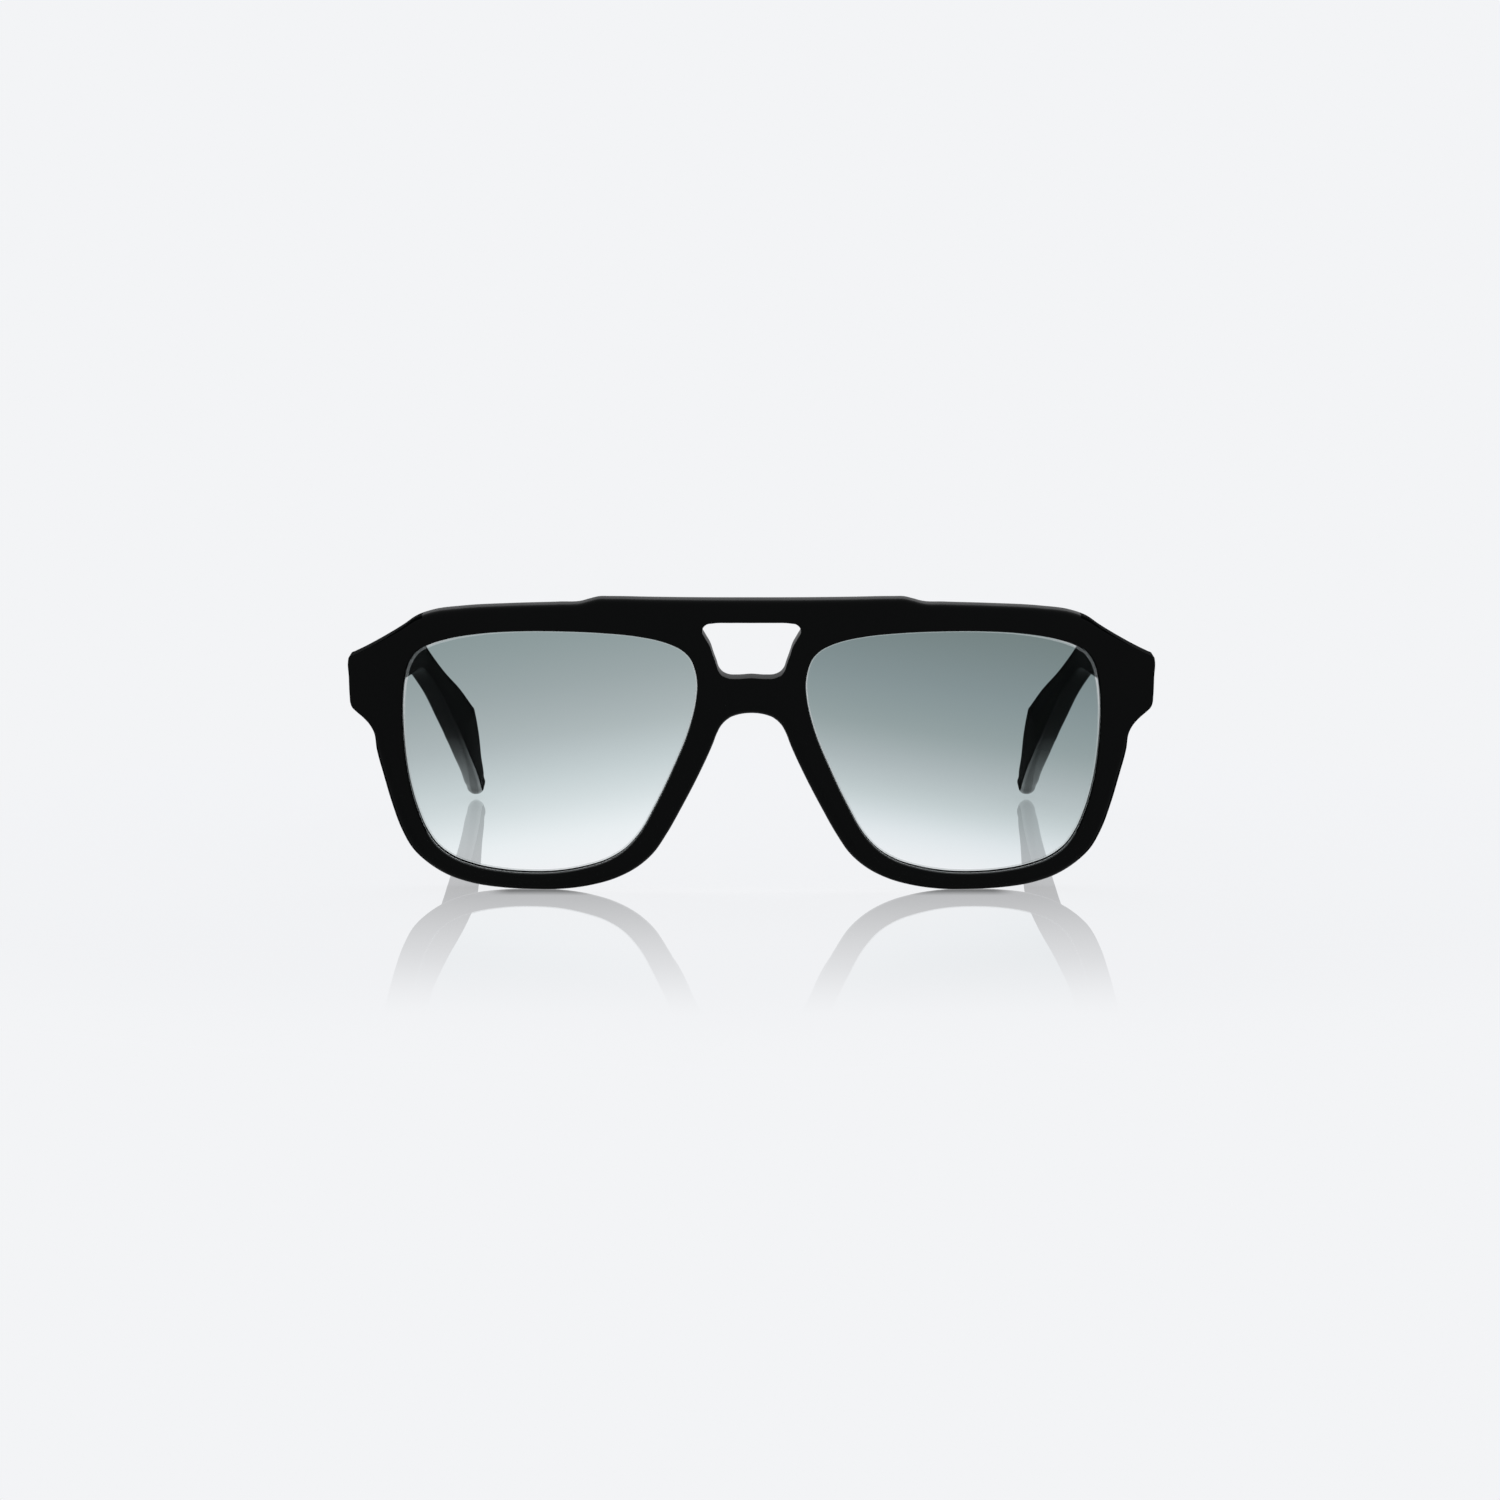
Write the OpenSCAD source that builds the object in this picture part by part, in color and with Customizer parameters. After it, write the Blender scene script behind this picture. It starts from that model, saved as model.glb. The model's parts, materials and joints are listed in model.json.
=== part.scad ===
// Aviator glasses with a keyhole bridge, standing open on the lower rims and the temple tips.
// Millimetres. X runs across the face, Y runs back along the temples, Z is up.
// The origin is on the table, under the middle of the glasses.

/* [Front] */
// width over the end pieces
front_w = 144.2; // [136:0.1:156]
// height of the front, lower rim to brow
front_h = 53.3; // [46:0.1:60]
// thickness of the front
front_t = 5; // [4.4:0.1:6]
// radius of the bend of the front across the face
wrap_r = 400; // [300:10:900]
// lean of the front, top edge forward
lean = 6; // [3:0.5:9]
// radius of the rolled edges of the front
edge_r = 1.2; // [0.6:0.1:1.4]
// radius of the filed edges of the end pieces
crisp_r = 0.15; // [0.1:0.05:0.4]
// radius of the edges of the lens openings
rim_r = 0.4; // [0.2:0.1:0.6]
// radius of the edges of the keyhole
key_r = 0.3; // [0.2:0.1:0.8]
// depth of the lens groove in the rim
groove_d = 0.8; // [0.5:0.1:1]
// depth of the bottom of the lens groove behind the face
groove_y = 1.9; // [1.7:0.1:2.7]
// how much wider the opening is behind the lens
relief = 0.6; // [0.2:0.1:0.8]
// depth of the scoop on the face of the bridge
scoop_d = 0.35; // [0.1:0.05:0.6]

/* [Lenses] */
// thickness of a lens
lens_t = 2; // [1.6:0.1:2.2]
// how far the middle of a lens stands in front of its edge
lens_bulge = 1.1; // [0.4:0.1:1.5]
// clearance between a lens and its rim
lens_gap = 0.04; // [0.02:0.01:0.1]

/* [Nose pads] */
// how far a nose pad stands behind the front
pad_h = 6; // [4:0.2:8]
// length of a nose pad
pad_l = 19; // [14:0.5:21]
// width of a nose pad at its foot
pad_w = 3.4; // [3:0.1:4]

/* [Temples] */
// reach of the temples behind the hinge, in plan
temple_l = 129; // [115:1:140]
// thickness of a temple
temple_t = 3.9; // [3.6:0.1:4.4]
// radius of the rounded long edges of a temple
temple_r = 0.7; // [0.4:0.1:1.6]
// gap between a temple and the front when open
open_gap = 0.25; // [0.15:0.05:0.4]
// width of the metal core
core_w = 2.6; // [2:0.1:3]
// thickness of the metal core
core_t = 1; // [0.8:0.1:1.2]

/* [Hinges] */
// height of a hinge over its five knuckles
hinge_h = 6.4; // [5.6:0.1:7]
// outer radius of a knuckle
knuckle_r = 1.35; // [1.2:0.05:1.5]
// radius of the pivot screw
pivot_r = 0.7; // [0.6:0.05:0.8]
// running clearance round the pivot screw
pivot_gap = 0.03; // [0.02:0.01:0.06]
// free height between two knuckles
knuckle_gap = 0.06; // [0.04:0.01:0.1]
// thickness of the hinge plates
plate_t = 1; // [0.8:0.1:1.1]
// radius of the small plate screws
screw_r = 0.5; // [0.4:0.05:0.6]

/* [Hidden] */
// fit of pieces that are fixed in pockets
snug = 0.02;
// steps across a rolled edge
edge_n = 2;
// steps between two points of an outline
curve_n = 2;
// sides of the small round pieces
round_n = 48;
// sizes at which the outlines below are drawn
drawn_w = 144.2;
drawn_h = 53.3;
drawn_l = 129;
kx = front_w / drawn_w;
kz = front_h / drawn_h;

// Outline of the right half of the front, from the middle of the brow to the bridge.
brow = [[0, 53.2], [9, 53.2], [18, 53.25], [25, 53.3], [27.1, 53.25], [28.7, 52.85],
    [30.3, 52.4], [34, 52.2], [42.6, 51.8], [51.5, 51.15], [56.9, 50.3], [59.6, 49.3]];
end_piece = [[62.4, 47.35], [66.1, 45], [69.7, 42.95], [71.4, 42.1], [72, 41.8], [72.12, 41.3],
    [72.08, 38.3], [72, 34.6], [71.93, 33.6], [71.6, 32.7], [70.9, 32], [69.5, 30.8],
    [68.6, 29.8]];
cheek = [[67.85, 28.4], [67.4, 25], [66.2, 20.2], [64.8, 15.1], [63.1, 10.3], [61.2, 6.9],
    [58.5, 4.35], [55.2, 2.35], [50.5, 0.85], [45, 0.15], [39.5, 0], [34.3, 0.15],
    [29, 0.95], [24.5, 2.3], [20.5, 4.45]];
nose = [[17.6, 7.05], [15.2, 10.6], [12.6, 15.3], [9, 22.4], [6.9, 27.1], [6.1, 29.2],
    [5.4, 30.5], [4.3, 31.65], [2.6, 32.4], [0, 32.75]];

// Outline of the right lens opening, clockwise from its upper nose corner.
opening = [[14, 45.1], [16.2, 45.85], [20, 46.6], [26.7, 47.2], [33.8, 47.4], [40.9, 47.3],
    [48, 46.75], [54, 45.65], [57.2, 44.6], [59.6, 43.25], [61.1, 41.2], [62, 38],
    [62.5, 33.6], [62.5, 29], [62.2, 24.3], [61.5, 19.3], [60.15, 14.1], [58.5, 10.1],
    [56.7, 7.5], [54, 5.5], [50, 4.05], [45, 3.2], [39.8, 2.95], [35, 3.2], [30, 4.15],
    [26, 5.5], [22.8, 7.5], [20.4, 10.1], [17.1, 15.9], [14, 22.5], [11.3, 29.2],
    [9.85, 35.2], [9.65, 38.4], [10, 40.6], [10.9, 42.8], [12.3, 44.2]];

// Right half of the keyhole between the brow and the bridge.
keyhole = [[0, 49.2], [3.6, 49.2], [6.8, 49.1], [8, 48.85], [8.6, 48.2], [8.7, 47.5],
    [8.2, 46.5], [7.35, 45], [6.78, 43.3], [6.21, 41.7], [5.8, 40.5], [5.15, 39.7],
    [4.1, 39.2], [2.5, 39.1], [0, 39.25]];

half_front = concat(brow, end_piece, cheek, nose);
// points where the brow and the bridge join the rims
brow_joint = 1;
key_top_joint = 5;
key_low_joint = 10;
bridge_joint = len(half_front) - 4;

function sized(p) = [p[0] * kx, p[1] * kz];
function flip(p) = [-p[0], p[1]];
function both_sides(h) = concat(
    [for (p = h) sized(p)],
    [for (i = [len(h) - 2 : -1 : 1]) flip(sized(h[i]))]);

// Smooth curve through points.
function way(a, b, c) =
    let (d = norm(b - a), e = norm(c - b))
    ((b - a) / d * e + (c - b) / e * d) / (d + e);
function curve(p, q, m, n, t) =
    let (s = norm(q - p))
    p * (2 * t * t * t - 3 * t * t + 1) + m * s * (t * t * t - 2 * t * t + t)
    + q * (3 * t * t - 2 * t * t * t) + n * s * (t * t * t - t * t);
function near(p, i) = p[(i + len(p)) % len(p)];
function smooth_loop(p, n) = [for (i = [0 : len(p) - 1])
    let (a = near(p, i - 1), b = p[i], c = near(p, i + 1), d = near(p, i + 2))
    for (k = [0 : n - 1]) curve(b, c, way(a, b, c), way(b, c, d), k / n)];
function smooth_path(p, n) =
    let (m = len(p) - 1, q = concat([2 * p[0] - p[1]], p, [2 * p[m] - p[m - 1]]))
    concat([for (i = [1 : m]) for (k = [0 : n - 1])
        curve(q[i], q[i + 1], way(q[i - 1], q[i], q[i + 1]),
            way(q[i], q[i + 1], q[i + 2]), k / n)], [p[m]]);

// A clockwise outline moved out by a distance, or by one distance for each point.
function grow(p, d) = [for (i = [0 : len(p) - 1])
    let (t = near(p, i + 1) - near(p, i - 1), n = [-t[1], t[0]] / norm(t))
    p[i] + n * (is_list(d) ? d[i] : d)];

function sag(x) = wrap_r - sqrt(wrap_r * wrap_r - x * x);
function on_front(p, depth) = [p[0], sag(p[0]) + depth, p[1]];
function mirrored(v) = [-v[0], v[1], v[2]];

outer_loop = smooth_loop(both_sides(half_front), curve_n);
key_loop = smooth_loop(both_sides(keyhole), curve_n);
lens_loop = smooth_loop([for (p = opening) sized(p)], curve_n);
outer_c = len(outer_loop);
key_c = len(key_loop);
lens_c = len(lens_loop);
lens_mid = [36 * kx, 25.6 * kz];

// The rolled edges end at the end pieces, which are filed crisp.
function fade(v, a, b) = let (t = min(1, max(0, (v - a) / (b - a)))) t * t * (3 - 2 * t);
outer_r = [for (p = outer_loop)
    edge_r - (edge_r - crisp_r) * fade(abs(p[0]) / kx, 57, 69.5) * fade(p[1] / kz, 24, 31)];

// Steps along an edge, face to back: depth and inset in edge radii, then what is added to each.
turns_of_roll = [for (k = [0 : edge_n]) 90 * k / edge_n];
roll = [for (a = turns_of_roll) [1 - cos(a), 1 - sin(a), 0, 0]];
function roll_back(wider) = [for (k = [edge_n : -1 : 0]) [-roll[k][0], roll[k][1], front_t, wider]];
groove = [[0, 0, groove_y - groove_d, 0], [0, 0, groove_y, groove_d],
    [0, 0, groove_y + groove_d, 0]];
edge_path = concat(roll, roll_back(0));
rim_path = concat(roll, groove, roll_back(relief));
function edge_row(loop, radii, e, side) =
    let (q = grow(loop, [for (r = radii) side * (e[1] * r + e[3])]))
    [for (i = [0 : len(q) - 1]) on_front(q[i], e[2] + e[0] * radii[i])];
function all_equal(loop, r) = [for (p = loop) r];

key_base = outer_c * len(edge_path);
right_base = key_base + key_c * len(edge_path);
left_base = right_base + lens_c * len(rim_path);

rim_rows = [for (e = rim_path) for (p = edge_row(lens_loop, all_equal(lens_loop, rim_r), e, 1)) p];
front_points = concat(
    [for (e = edge_path) for (p = edge_row(outer_loop, outer_r, e, -1)) p],
    [for (e = edge_path) for (p = edge_row(key_loop, all_equal(key_loop, key_r), e, 1)) p],
    rim_rows,
    [for (p = rim_rows) mirrored(p)]);

// Wall between the loops of one edge. The side says which way it faces.
function wall(base, c, k, out) = [for (j = [0 : k - 2]) for (i = [0 : c - 1])
    let (a = base + j * c + i, b = base + j * c + (i + 1) % c)
    for (f = out ? [[a, a + c, b + c], [a, b + c, b]] : [[a, b, b + c], [a, b + c, a + c]]) f];

// Triangles between two rows of points, matched by their keys.
function below(keys, k) = len([for (i = [1 : len(keys) - 1]) if (keys[i] < k) 1]);
function strip(a, ka, b, kb) = concat(
    [for (i = [0 : len(a) - 2]) [a[i + 1], a[i], b[below(kb, ka[i + 1])]]],
    [for (j = [0 : len(b) - 2]) [b[j], b[j + 1], a[below(ka, kb[j + 1] + 0.0001)]]]);
function even(a) = [for (i = [0 : len(a) - 1]) i / (len(a) - 1)];

t0 = brow_joint * curve_n;
k0 = key_top_joint * curve_n;
k1 = key_low_joint * curve_n;
k2 = (len(keyhole) - 1) * curve_n;
b0 = bridge_joint * curve_n;
b1 = (len(half_front) - 1) * curve_n;

// A corner of the face is written as [outline, number]: 0 outer, 1 keyhole, 2 lens.
rim_way = concat([for (i = [t0 : b0]) [0, i]], [for (i = [k1 : -1 : k0]) [1, i]], [[0, t0]]);
lens_way = concat([for (i = [0 : lens_c - 1]) [2, i]], [[2, 0]]);
function corner(v) = v[0] == 0 ? outer_loop[v[1]] : v[0] == 1 ? key_loop[v[1]] : lens_loop[v[1]];
function bearing(p) = atan2((p[1] - lens_mid[1]) / kz, (p[0] - lens_mid[0]) / kx);
start = (bearing(lens_loop[0]) + bearing(key_loop[k0])) / 2;
function turn(v) = (start - bearing(corner(v)) + 720) % 360;
function turns(w) = [for (i = [0 : len(w) - 1]) turn(w[i]) + (i == len(w) - 1 ? 360 : 0)];

brow_low = [for (i = [0 : k0]) [1, i]];
brow_top = [for (i = [0 : t0]) [0, i]];
bridge_low = [for (i = [b1 : -1 : b0]) [0, i]];
bridge_top = [for (i = [k2 : -1 : k1]) [1, i]];
half_face = concat(
    strip(lens_way, turns(lens_way), rim_way, turns(rim_way)),
    strip(brow_low, even(brow_low), brow_top, even(brow_top)),
    strip(bridge_low, even(bridge_low), bridge_top, even(bridge_top)));

function number(v, back, left) =
    v[0] == 0 ? (back ? (len(edge_path) - 1) * outer_c : 0)
        + (left ? (outer_c - v[1]) % outer_c : v[1])
    : v[0] == 1 ? key_base + (back ? (len(edge_path) - 1) * key_c : 0)
        + (left ? (key_c - v[1]) % key_c : v[1])
    : (left ? left_base : right_base) + (back ? (len(rim_path) - 1) * lens_c : 0) + v[1];
function face(back, left) = [for (f = half_face)
    let (n = [for (v = f) number(v, back, left)])
    back == left ? n : [n[2], n[1], n[0]]];

front_faces = concat(
    wall(0, outer_c, len(edge_path), true),
    wall(key_base, key_c, len(edge_path), false),
    wall(right_base, lens_c, len(rim_path), false),
    wall(left_base, lens_c, len(rim_path), true),
    face(false, false), face(true, false), face(false, true), face(true, true));

// Closed skin over a row of clockwise loops, from the front one to the back one.
module skin(loops) {
    c = len(loops[0]);
    k = len(loops);
    points = concat([for (l = loops) for (p = l) p], [middle(loops[0]), middle(loops[k - 1])]);
    faces = concat(wall(0, c, k, true),
        [for (i = [0 : c - 1]) [c * k, i, (i + 1) % c]],
        [for (i = [0 : c - 1]) [c * k + 1, (k - 1) * c + (i + 1) % c, (k - 1) * c + i]]);
    polyhedron(points = points, faces = faces, convexity = 8);
}
function middle(l) = [for (j = [0 : 2]) sum([for (p = l) p[j]], len(l) - 1) / len(l)];
function sum(v, i) = i < 0 ? 0 : v[i] + sum(v, i - 1);

// Place of the front: leaned about the line where the lower rims touch the table.
touch_x = 39.5 * kx;
front_y = -sag(touch_x) * cos(lean) - (53.2 * kz - edge_r) * sin(lean);
hinge_x = front_w / 2 - 6.5;
hinge_z = 37.6 * kz;
hinge_wrap = asin(hinge_x / wrap_r);
hinge_off = knuckle_r + 0.4;
hinge_y = sag(hinge_x) + front_t + hinge_off / cos(hinge_wrap);
pivot_y = (hinge_y - sag(touch_x)) * cos(lean) - hinge_z * sin(lean);
rear_y = pivot_y + temple_l;
mid_y = (front_y + rear_y) / 2;

module stand() {
    translate([0, -mid_y, 0])
        children();
}
module in_front() {
    stand()
        translate([0, 0, -edge_r * sin(lean)])
            rotate([lean, 0, 0])
                translate([0, -sag(touch_x), 0])
                    children();
}
module on_side(left) {
    mirror([left ? 1 : 0, 0, 0])
        children();
}
module at_hinge() {
    in_front()
        translate([hinge_x, hinge_y, hinge_z])
            children();
}

// Front: rims, keyhole bridge, brow and end pieces in one piece.
module front_body() {
    color([0.03, 0.03, 0.035])
        difference() {
            in_front()
                polyhedron(points = front_points, faces = front_faces, convexity = 12);
            for (left = [false, true])
                on_side(left)
                    front_pocket();
            bridge_scoop();
        }
}
// shallow scoop on the face of the bridge, wider towards the keyhole
scoop_low = [3.74 * kx, 31 * kz];
scoop_top = [5.29 * kx, 41 * kz];
module bridge_scoop() {
    in_front()
        translate([0, scoop_d, 0])
            rotate([90, 0, 0])
                linear_extrude(height = scoop_d + 1)
                    polygon([flip(scoop_low), scoop_low, scoop_top, flip(scoop_top)]);
}
module front_pocket() {
    at_hinge()
        rotate([0, 0, hinge_wrap])
            union() {
                translate([plate_x - snug, -hinge_off - plate_t - snug, -hinge_h / 2 - snug])
                    cube([plate_l + 2 * snug, plate_t + 1, hinge_h + 2 * snug]);
                for (s = [-1, 1])
                    translate([front_screw_x, -hinge_off, s * front_screw_z])
                        rotate([90, 0, 0])
                            cylinder(r = screw_r + snug, h = front_screw_l + 0.1, $fn = round_n);
            }
}

// Lens: a thin bulged shell with a bevelled edge that sits in the groove.
lens_front = groove_y - lens_t / 2;
lens_edge = groove_d - lens_gap;
bulge_steps = [0.25, 0.5, 0.75, 0.9];
function lens_ring(s, y) = [for (p = grow(lens_loop, -lens_gap))
    let (q = lens_mid + (p - lens_mid) * s)
    on_front(q, y - lens_bulge * (1 - s * s))];
function lens_rim(d, y) = [for (p = grow(lens_loop, d)) on_front(p, y)];
lens_loops = concat(
    [for (s = bulge_steps) lens_ring(s, lens_front)],
    [lens_ring(1, lens_front), lens_rim(-lens_gap, groove_y - lens_edge),
        lens_rim(lens_edge - lens_gap, groove_y), lens_rim(-lens_gap, groove_y + lens_edge),
        lens_ring(1, lens_front + lens_t)],
    [for (i = [len(bulge_steps) - 1 : -1 : 0]) lens_ring(bulge_steps[i], lens_front + lens_t)]);
module lens(left) {
    color([0.55, 0.6, 0.62, 0.6])
        on_side(left)
            in_front()
                skin(lens_loops);
}

// Nose pad: a thin rounded fin bonded to the back of the rim beside the nose.
pad_mid = [12.35 * kx, 19.6 * kz];
pad_turn = 65.5;
pad_splay = 0.16;
pad_n = 24;
pad_steps = [0, 0.3, 0.6, 0.8, 0.93, 1];
function pad_loop(h) =
    let (s = sqrt(max(0.04, 1 - h * h * 0.97)), l = pad_l / 2 * (0.35 + 0.65 * s),
        w = pad_w / 2 * s)
    [for (i = [0 : pad_n - 1])
        let (a = 360 * i / pad_n, u = cos(a) * l, v = sin(a) * w * (1 - 0.22 * cos(a)),
            x = pad_mid[0] + pad_splay * pad_h * h - u * cos(pad_turn) + v * sin(pad_turn),
            z = pad_mid[1] + u * sin(pad_turn) + v * cos(pad_turn))
        [x, sag(x) + front_t + snug + pad_h * h, z]];
module nose_pad(left) {
    color([0.03, 0.03, 0.035])
        on_side(left)
            in_front()
                skin([for (h = pad_steps) pad_loop(h)]);
}

// Temple: straight part and ear bend, each row a section from its lower to its upper edge.
// Lower edge y z x, upper edge y z x, thickness. Distances are from the hinge and the table.
temple_rows = [
    [-14, 33, 72, -14, 42.3, 72, 1],
    [4, 33.1, 72, 4, 42.2, 72, 1],
    [14, 33.2, 72, 14, 42, 72, 1],
    [30, 33.3, 71.5, 30, 41.2, 71.5, 1],
    [48, 33.1, 71.1, 48, 40.1, 71.1, 1],
    [66, 32.7, 70.9, 67, 39.1, 70.9, 1],
    [76, 32.5, 70.7, 79, 38.5, 70.7, 1],
    [82, 31.2, 70.2, 86.5, 35.9, 70.4, 1],
    [88, 26.4, 67.9, 95, 30.6, 67.9, 0.98],
    [94, 20.8, 66.1, 103.3, 25.8, 65, 0.96],
    [99.1, 16.4, 64.8, 108.8, 21.9, 63.05, 0.95],
    [100, 15.6, 64.6, 109.8, 21.2, 62.7, 0.95],
    [101, 14.9, 64.4, 110.7, 20.3, 62.6, 0.95],
    [106.5, 11.1, 63.5, 115.6, 15.4, 62.2, 0.93],
    [113.5, 6.9, 62.6, 121, 9.7, 62.05, 0.9],
    [120.5, 2.9, 62.1, 126, 5, 61.75, 0.86],
    [124.8, 0.7, 61.6, 128.4, 2.9, 61.35, 0.7],
    [126.4, 0.6, 61.1, 128.9, 2.3, 61.3, 0.42]];
ky = temple_l / drawn_l;
shift = (front_w - drawn_w) / 2;
function row(v) = [v[0] * ky + pivot_y, v[1] * kz, v[2] + shift,
    v[3] * ky + pivot_y, v[4] * kz, v[5] + shift, v[6] * temple_t];
temple_path = smooth_path([for (v = temple_rows) row(v)], curve_n);

corner_n = 2;
corner_turns = [for (k = [0 : corner_n]) 90 * k / corner_n];
// Section as pairs: part of the way up from the lower edge, part of the way in from outside.
function section(v) =
    let (low = [v[2], v[0], v[1]], top = [v[5], v[3], v[4]], h = norm(top - low),
        up = (top - low) / h, t = v[6], r = min(temple_r, 0.45 * t, 0.45 * h))
    [for (p = concat(
        [for (a = corner_turns) [h - r + r * sin(a), t - r + r * cos(a)]],
        [for (a = corner_turns) [h - r + r * cos(a), r - r * sin(a)]],
        [for (a = corner_turns) [r - r * sin(a), r - r * cos(a)]],
        [for (a = corner_turns) [r - r * cos(a), t - r + r * sin(a)]]))
        low + up * p[0] - [p[1], 0, 0]];
// Core: a flat strip that follows the middle of the temple.
core_from = 3;
core_to = 13;
core_path = smooth_path([for (i = [core_from : core_to]) row(temple_rows[i])], curve_n);
function core_section(v, more) =
    let (low = [v[2], v[0], v[1]], top = [v[5], v[3], v[4]], up = (top - low) / norm(top - low),
        mid = (low + top) / 2 - [v[6] / 2, 0, 0], a = core_w / 2 + more, b = core_t / 2 + more)
    [for (p = [[a, -b], [a, b], [-a, b], [-a, -b]]) mid + up * p[0] + [p[1], 0, 0]];
module core_body(more) {
    skin([for (v = core_path) core_section(v, more)]);
}
module core_wire(left) {
    color([0.62, 0.6, 0.56])
        on_side(left)
            stand()
                core_body(0);
}

module temple(left) {
    color([0.03, 0.03, 0.035])
        on_side(left)
            difference() {
                intersection() {
                    stand()
                        skin([for (v = temple_path) section(v)]);
                    in_front()
                        translate([0, front_t + open_gap + wrap_r, -2 * front_h])
                            cylinder(r = wrap_r, h = 5 * front_h, $fn = 360);
                }
                stand()
                    core_body(snug);
                temple_pocket();
            }
}
module temple_pocket() {
    at_hinge()
        union() {
            translate([leaf_x - 1, leaf_y - snug, -hinge_h / 2 - snug])
                cube([plate_t + 1 + snug, leaf_l + 2 * snug, hinge_h + 2 * snug]);
            for (y = temple_screw_y)
                translate([leaf_x, y, 0])
                    rotate([0, 90, 0])
                        cylinder(r = screw_r + snug, h = temple_screw_l + 0.1, $fn = round_n);
        }
}

// Hinge: three knuckles on the front, two on the temple, on one pivot screw.
plate_x = -1.5;
plate_l = 6.6;
leaf_x = 72 + shift - temple_t - hinge_x;
leaf_y = (leaf_x + plate_t) * tan(hinge_wrap) - hinge_off / cos(hinge_wrap) + open_gap + 0.05;
leaf_l = 9.6;
front_screw_x = 3.5;
front_screw_z = hinge_h / 2 - 1.5;
front_screw_l = 3.2;
temple_screw_y = [3.2, 6.6];
temple_screw_l = 2.6;
knuckle_h = hinge_h / 5;
function knuckle_z(i) = -hinge_h / 2 + i * knuckle_h + (i == 0 ? 0 : knuckle_gap / 2);
function knuckle_l(i) = knuckle_h - (i == 0 || i == 4 ? knuckle_gap / 2 : knuckle_gap);

module knuckle(i) {
    translate([0, 0, knuckle_z(i)])
        cylinder(r = knuckle_r, h = knuckle_l(i), $fn = round_n);
}
module pivot_bore() {
    translate([0, 0, -hinge_h / 2 - 1])
        cylinder(r = pivot_r + pivot_gap, h = hinge_h + 2, $fn = round_n);
}
module screw_seat() {
    translate([0, 0, -plate_t - 1])
        cylinder(r = screw_r + snug, h = plate_t + 2, $fn = round_n);
    translate([0, 0, -head_h])
        cylinder(r1 = screw_r + snug, r2 = head_r + snug, h = head_h + snug, $fn = round_n);
}
head_r = 2 * screw_r;
head_h = screw_r;

module front_hinge(left) {
    color([0.7, 0.69, 0.66])
        on_side(left)
            at_hinge()
                difference() {
                    union() {
                        rotate([0, 0, hinge_wrap])
                            translate([plate_x, -hinge_off - plate_t, -hinge_h / 2])
                                cube([plate_l, plate_t, hinge_h]);
                        for (i = [0, 2, 4]) {
                            knuckle(i);
                            rotate([0, 0, hinge_wrap])
                                translate([-1, -hinge_off - 0.2, knuckle_z(i)])
                                    cube([2, hinge_off + 0.2, knuckle_l(i)]);
                        }
                    }
                    pivot_bore();
                    for (s = [-1, 1])
                        rotate([0, 0, hinge_wrap])
                            translate([front_screw_x, -hinge_off, s * front_screw_z])
                                rotate([-90, 0, 0])
                                    screw_seat();
                }
}
module temple_hinge(left) {
    color([0.7, 0.69, 0.66])
        on_side(left)
            at_hinge()
                difference() {
                    union() {
                        translate([leaf_x, leaf_y, -hinge_h / 2])
                            cube([plate_t, leaf_l, hinge_h]);
                        for (i = [1, 3]) {
                            knuckle(i);
                            translate([0, -1, knuckle_z(i)])
                                cube([leaf_x + 0.3, 2, knuckle_l(i)]);
                        }
                    }
                    pivot_bore();
                    for (y = temple_screw_y)
                        translate([leaf_x, y, 0])
                            rotate([0, -90, 0])
                                screw_seat();
                }
}

// Small slotted countersunk screw, its head in the plane z = 0 and its tip below.
module plate_screw(length) {
    difference() {
        union() {
            translate([0, 0, -length])
                cylinder(r = screw_r, h = length, $fn = round_n);
            translate([0, 0, -head_h])
                cylinder(r1 = screw_r, r2 = head_r, h = head_h, $fn = round_n);
        }
        translate([-head_r, -0.12, -0.25])
            cube([2 * head_r, 0.24, 1]);
    }
}
module front_hinge_screws(left) {
    color([0.6, 0.6, 0.6])
        on_side(left)
            at_hinge()
                rotate([0, 0, hinge_wrap])
                    for (s = [-1, 1])
                        translate([front_screw_x, -hinge_off, s * front_screw_z])
                            rotate([-90, 0, 0])
                                rotate([0, 0, 35 + 20 * s])
                                    plate_screw(front_screw_l);
}
module temple_hinge_screws(left) {
    color([0.6, 0.6, 0.6])
        on_side(left)
            at_hinge()
                for (y = temple_screw_y)
                    translate([leaf_x, y, 0])
                        rotate([0, -90, 0])
                            rotate([0, 0, 20 * y])
                                plate_screw(temple_screw_l);
}

// Pivot screw: slotted cheese head on top of the upper knuckle.
pivot_head_r = pivot_r + 0.5;
pivot_head_h = 0.7;
module hinge_screw(left) {
    color([0.6, 0.6, 0.6])
        on_side(left)
            at_hinge()
                difference() {
                    union() {
                        translate([0, 0, -hinge_h / 2])
                            cylinder(r = pivot_r, h = hinge_h + 0.2, $fn = round_n);
                        translate([0, 0, hinge_h / 2])
                            cylinder(r = pivot_head_r, h = pivot_head_h, $fn = round_n);
                    }
                    translate([-2, -0.15, hinge_h / 2 + pivot_head_h - 0.35])
                        cube([4, 0.3, 1]);
                }
}

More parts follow.
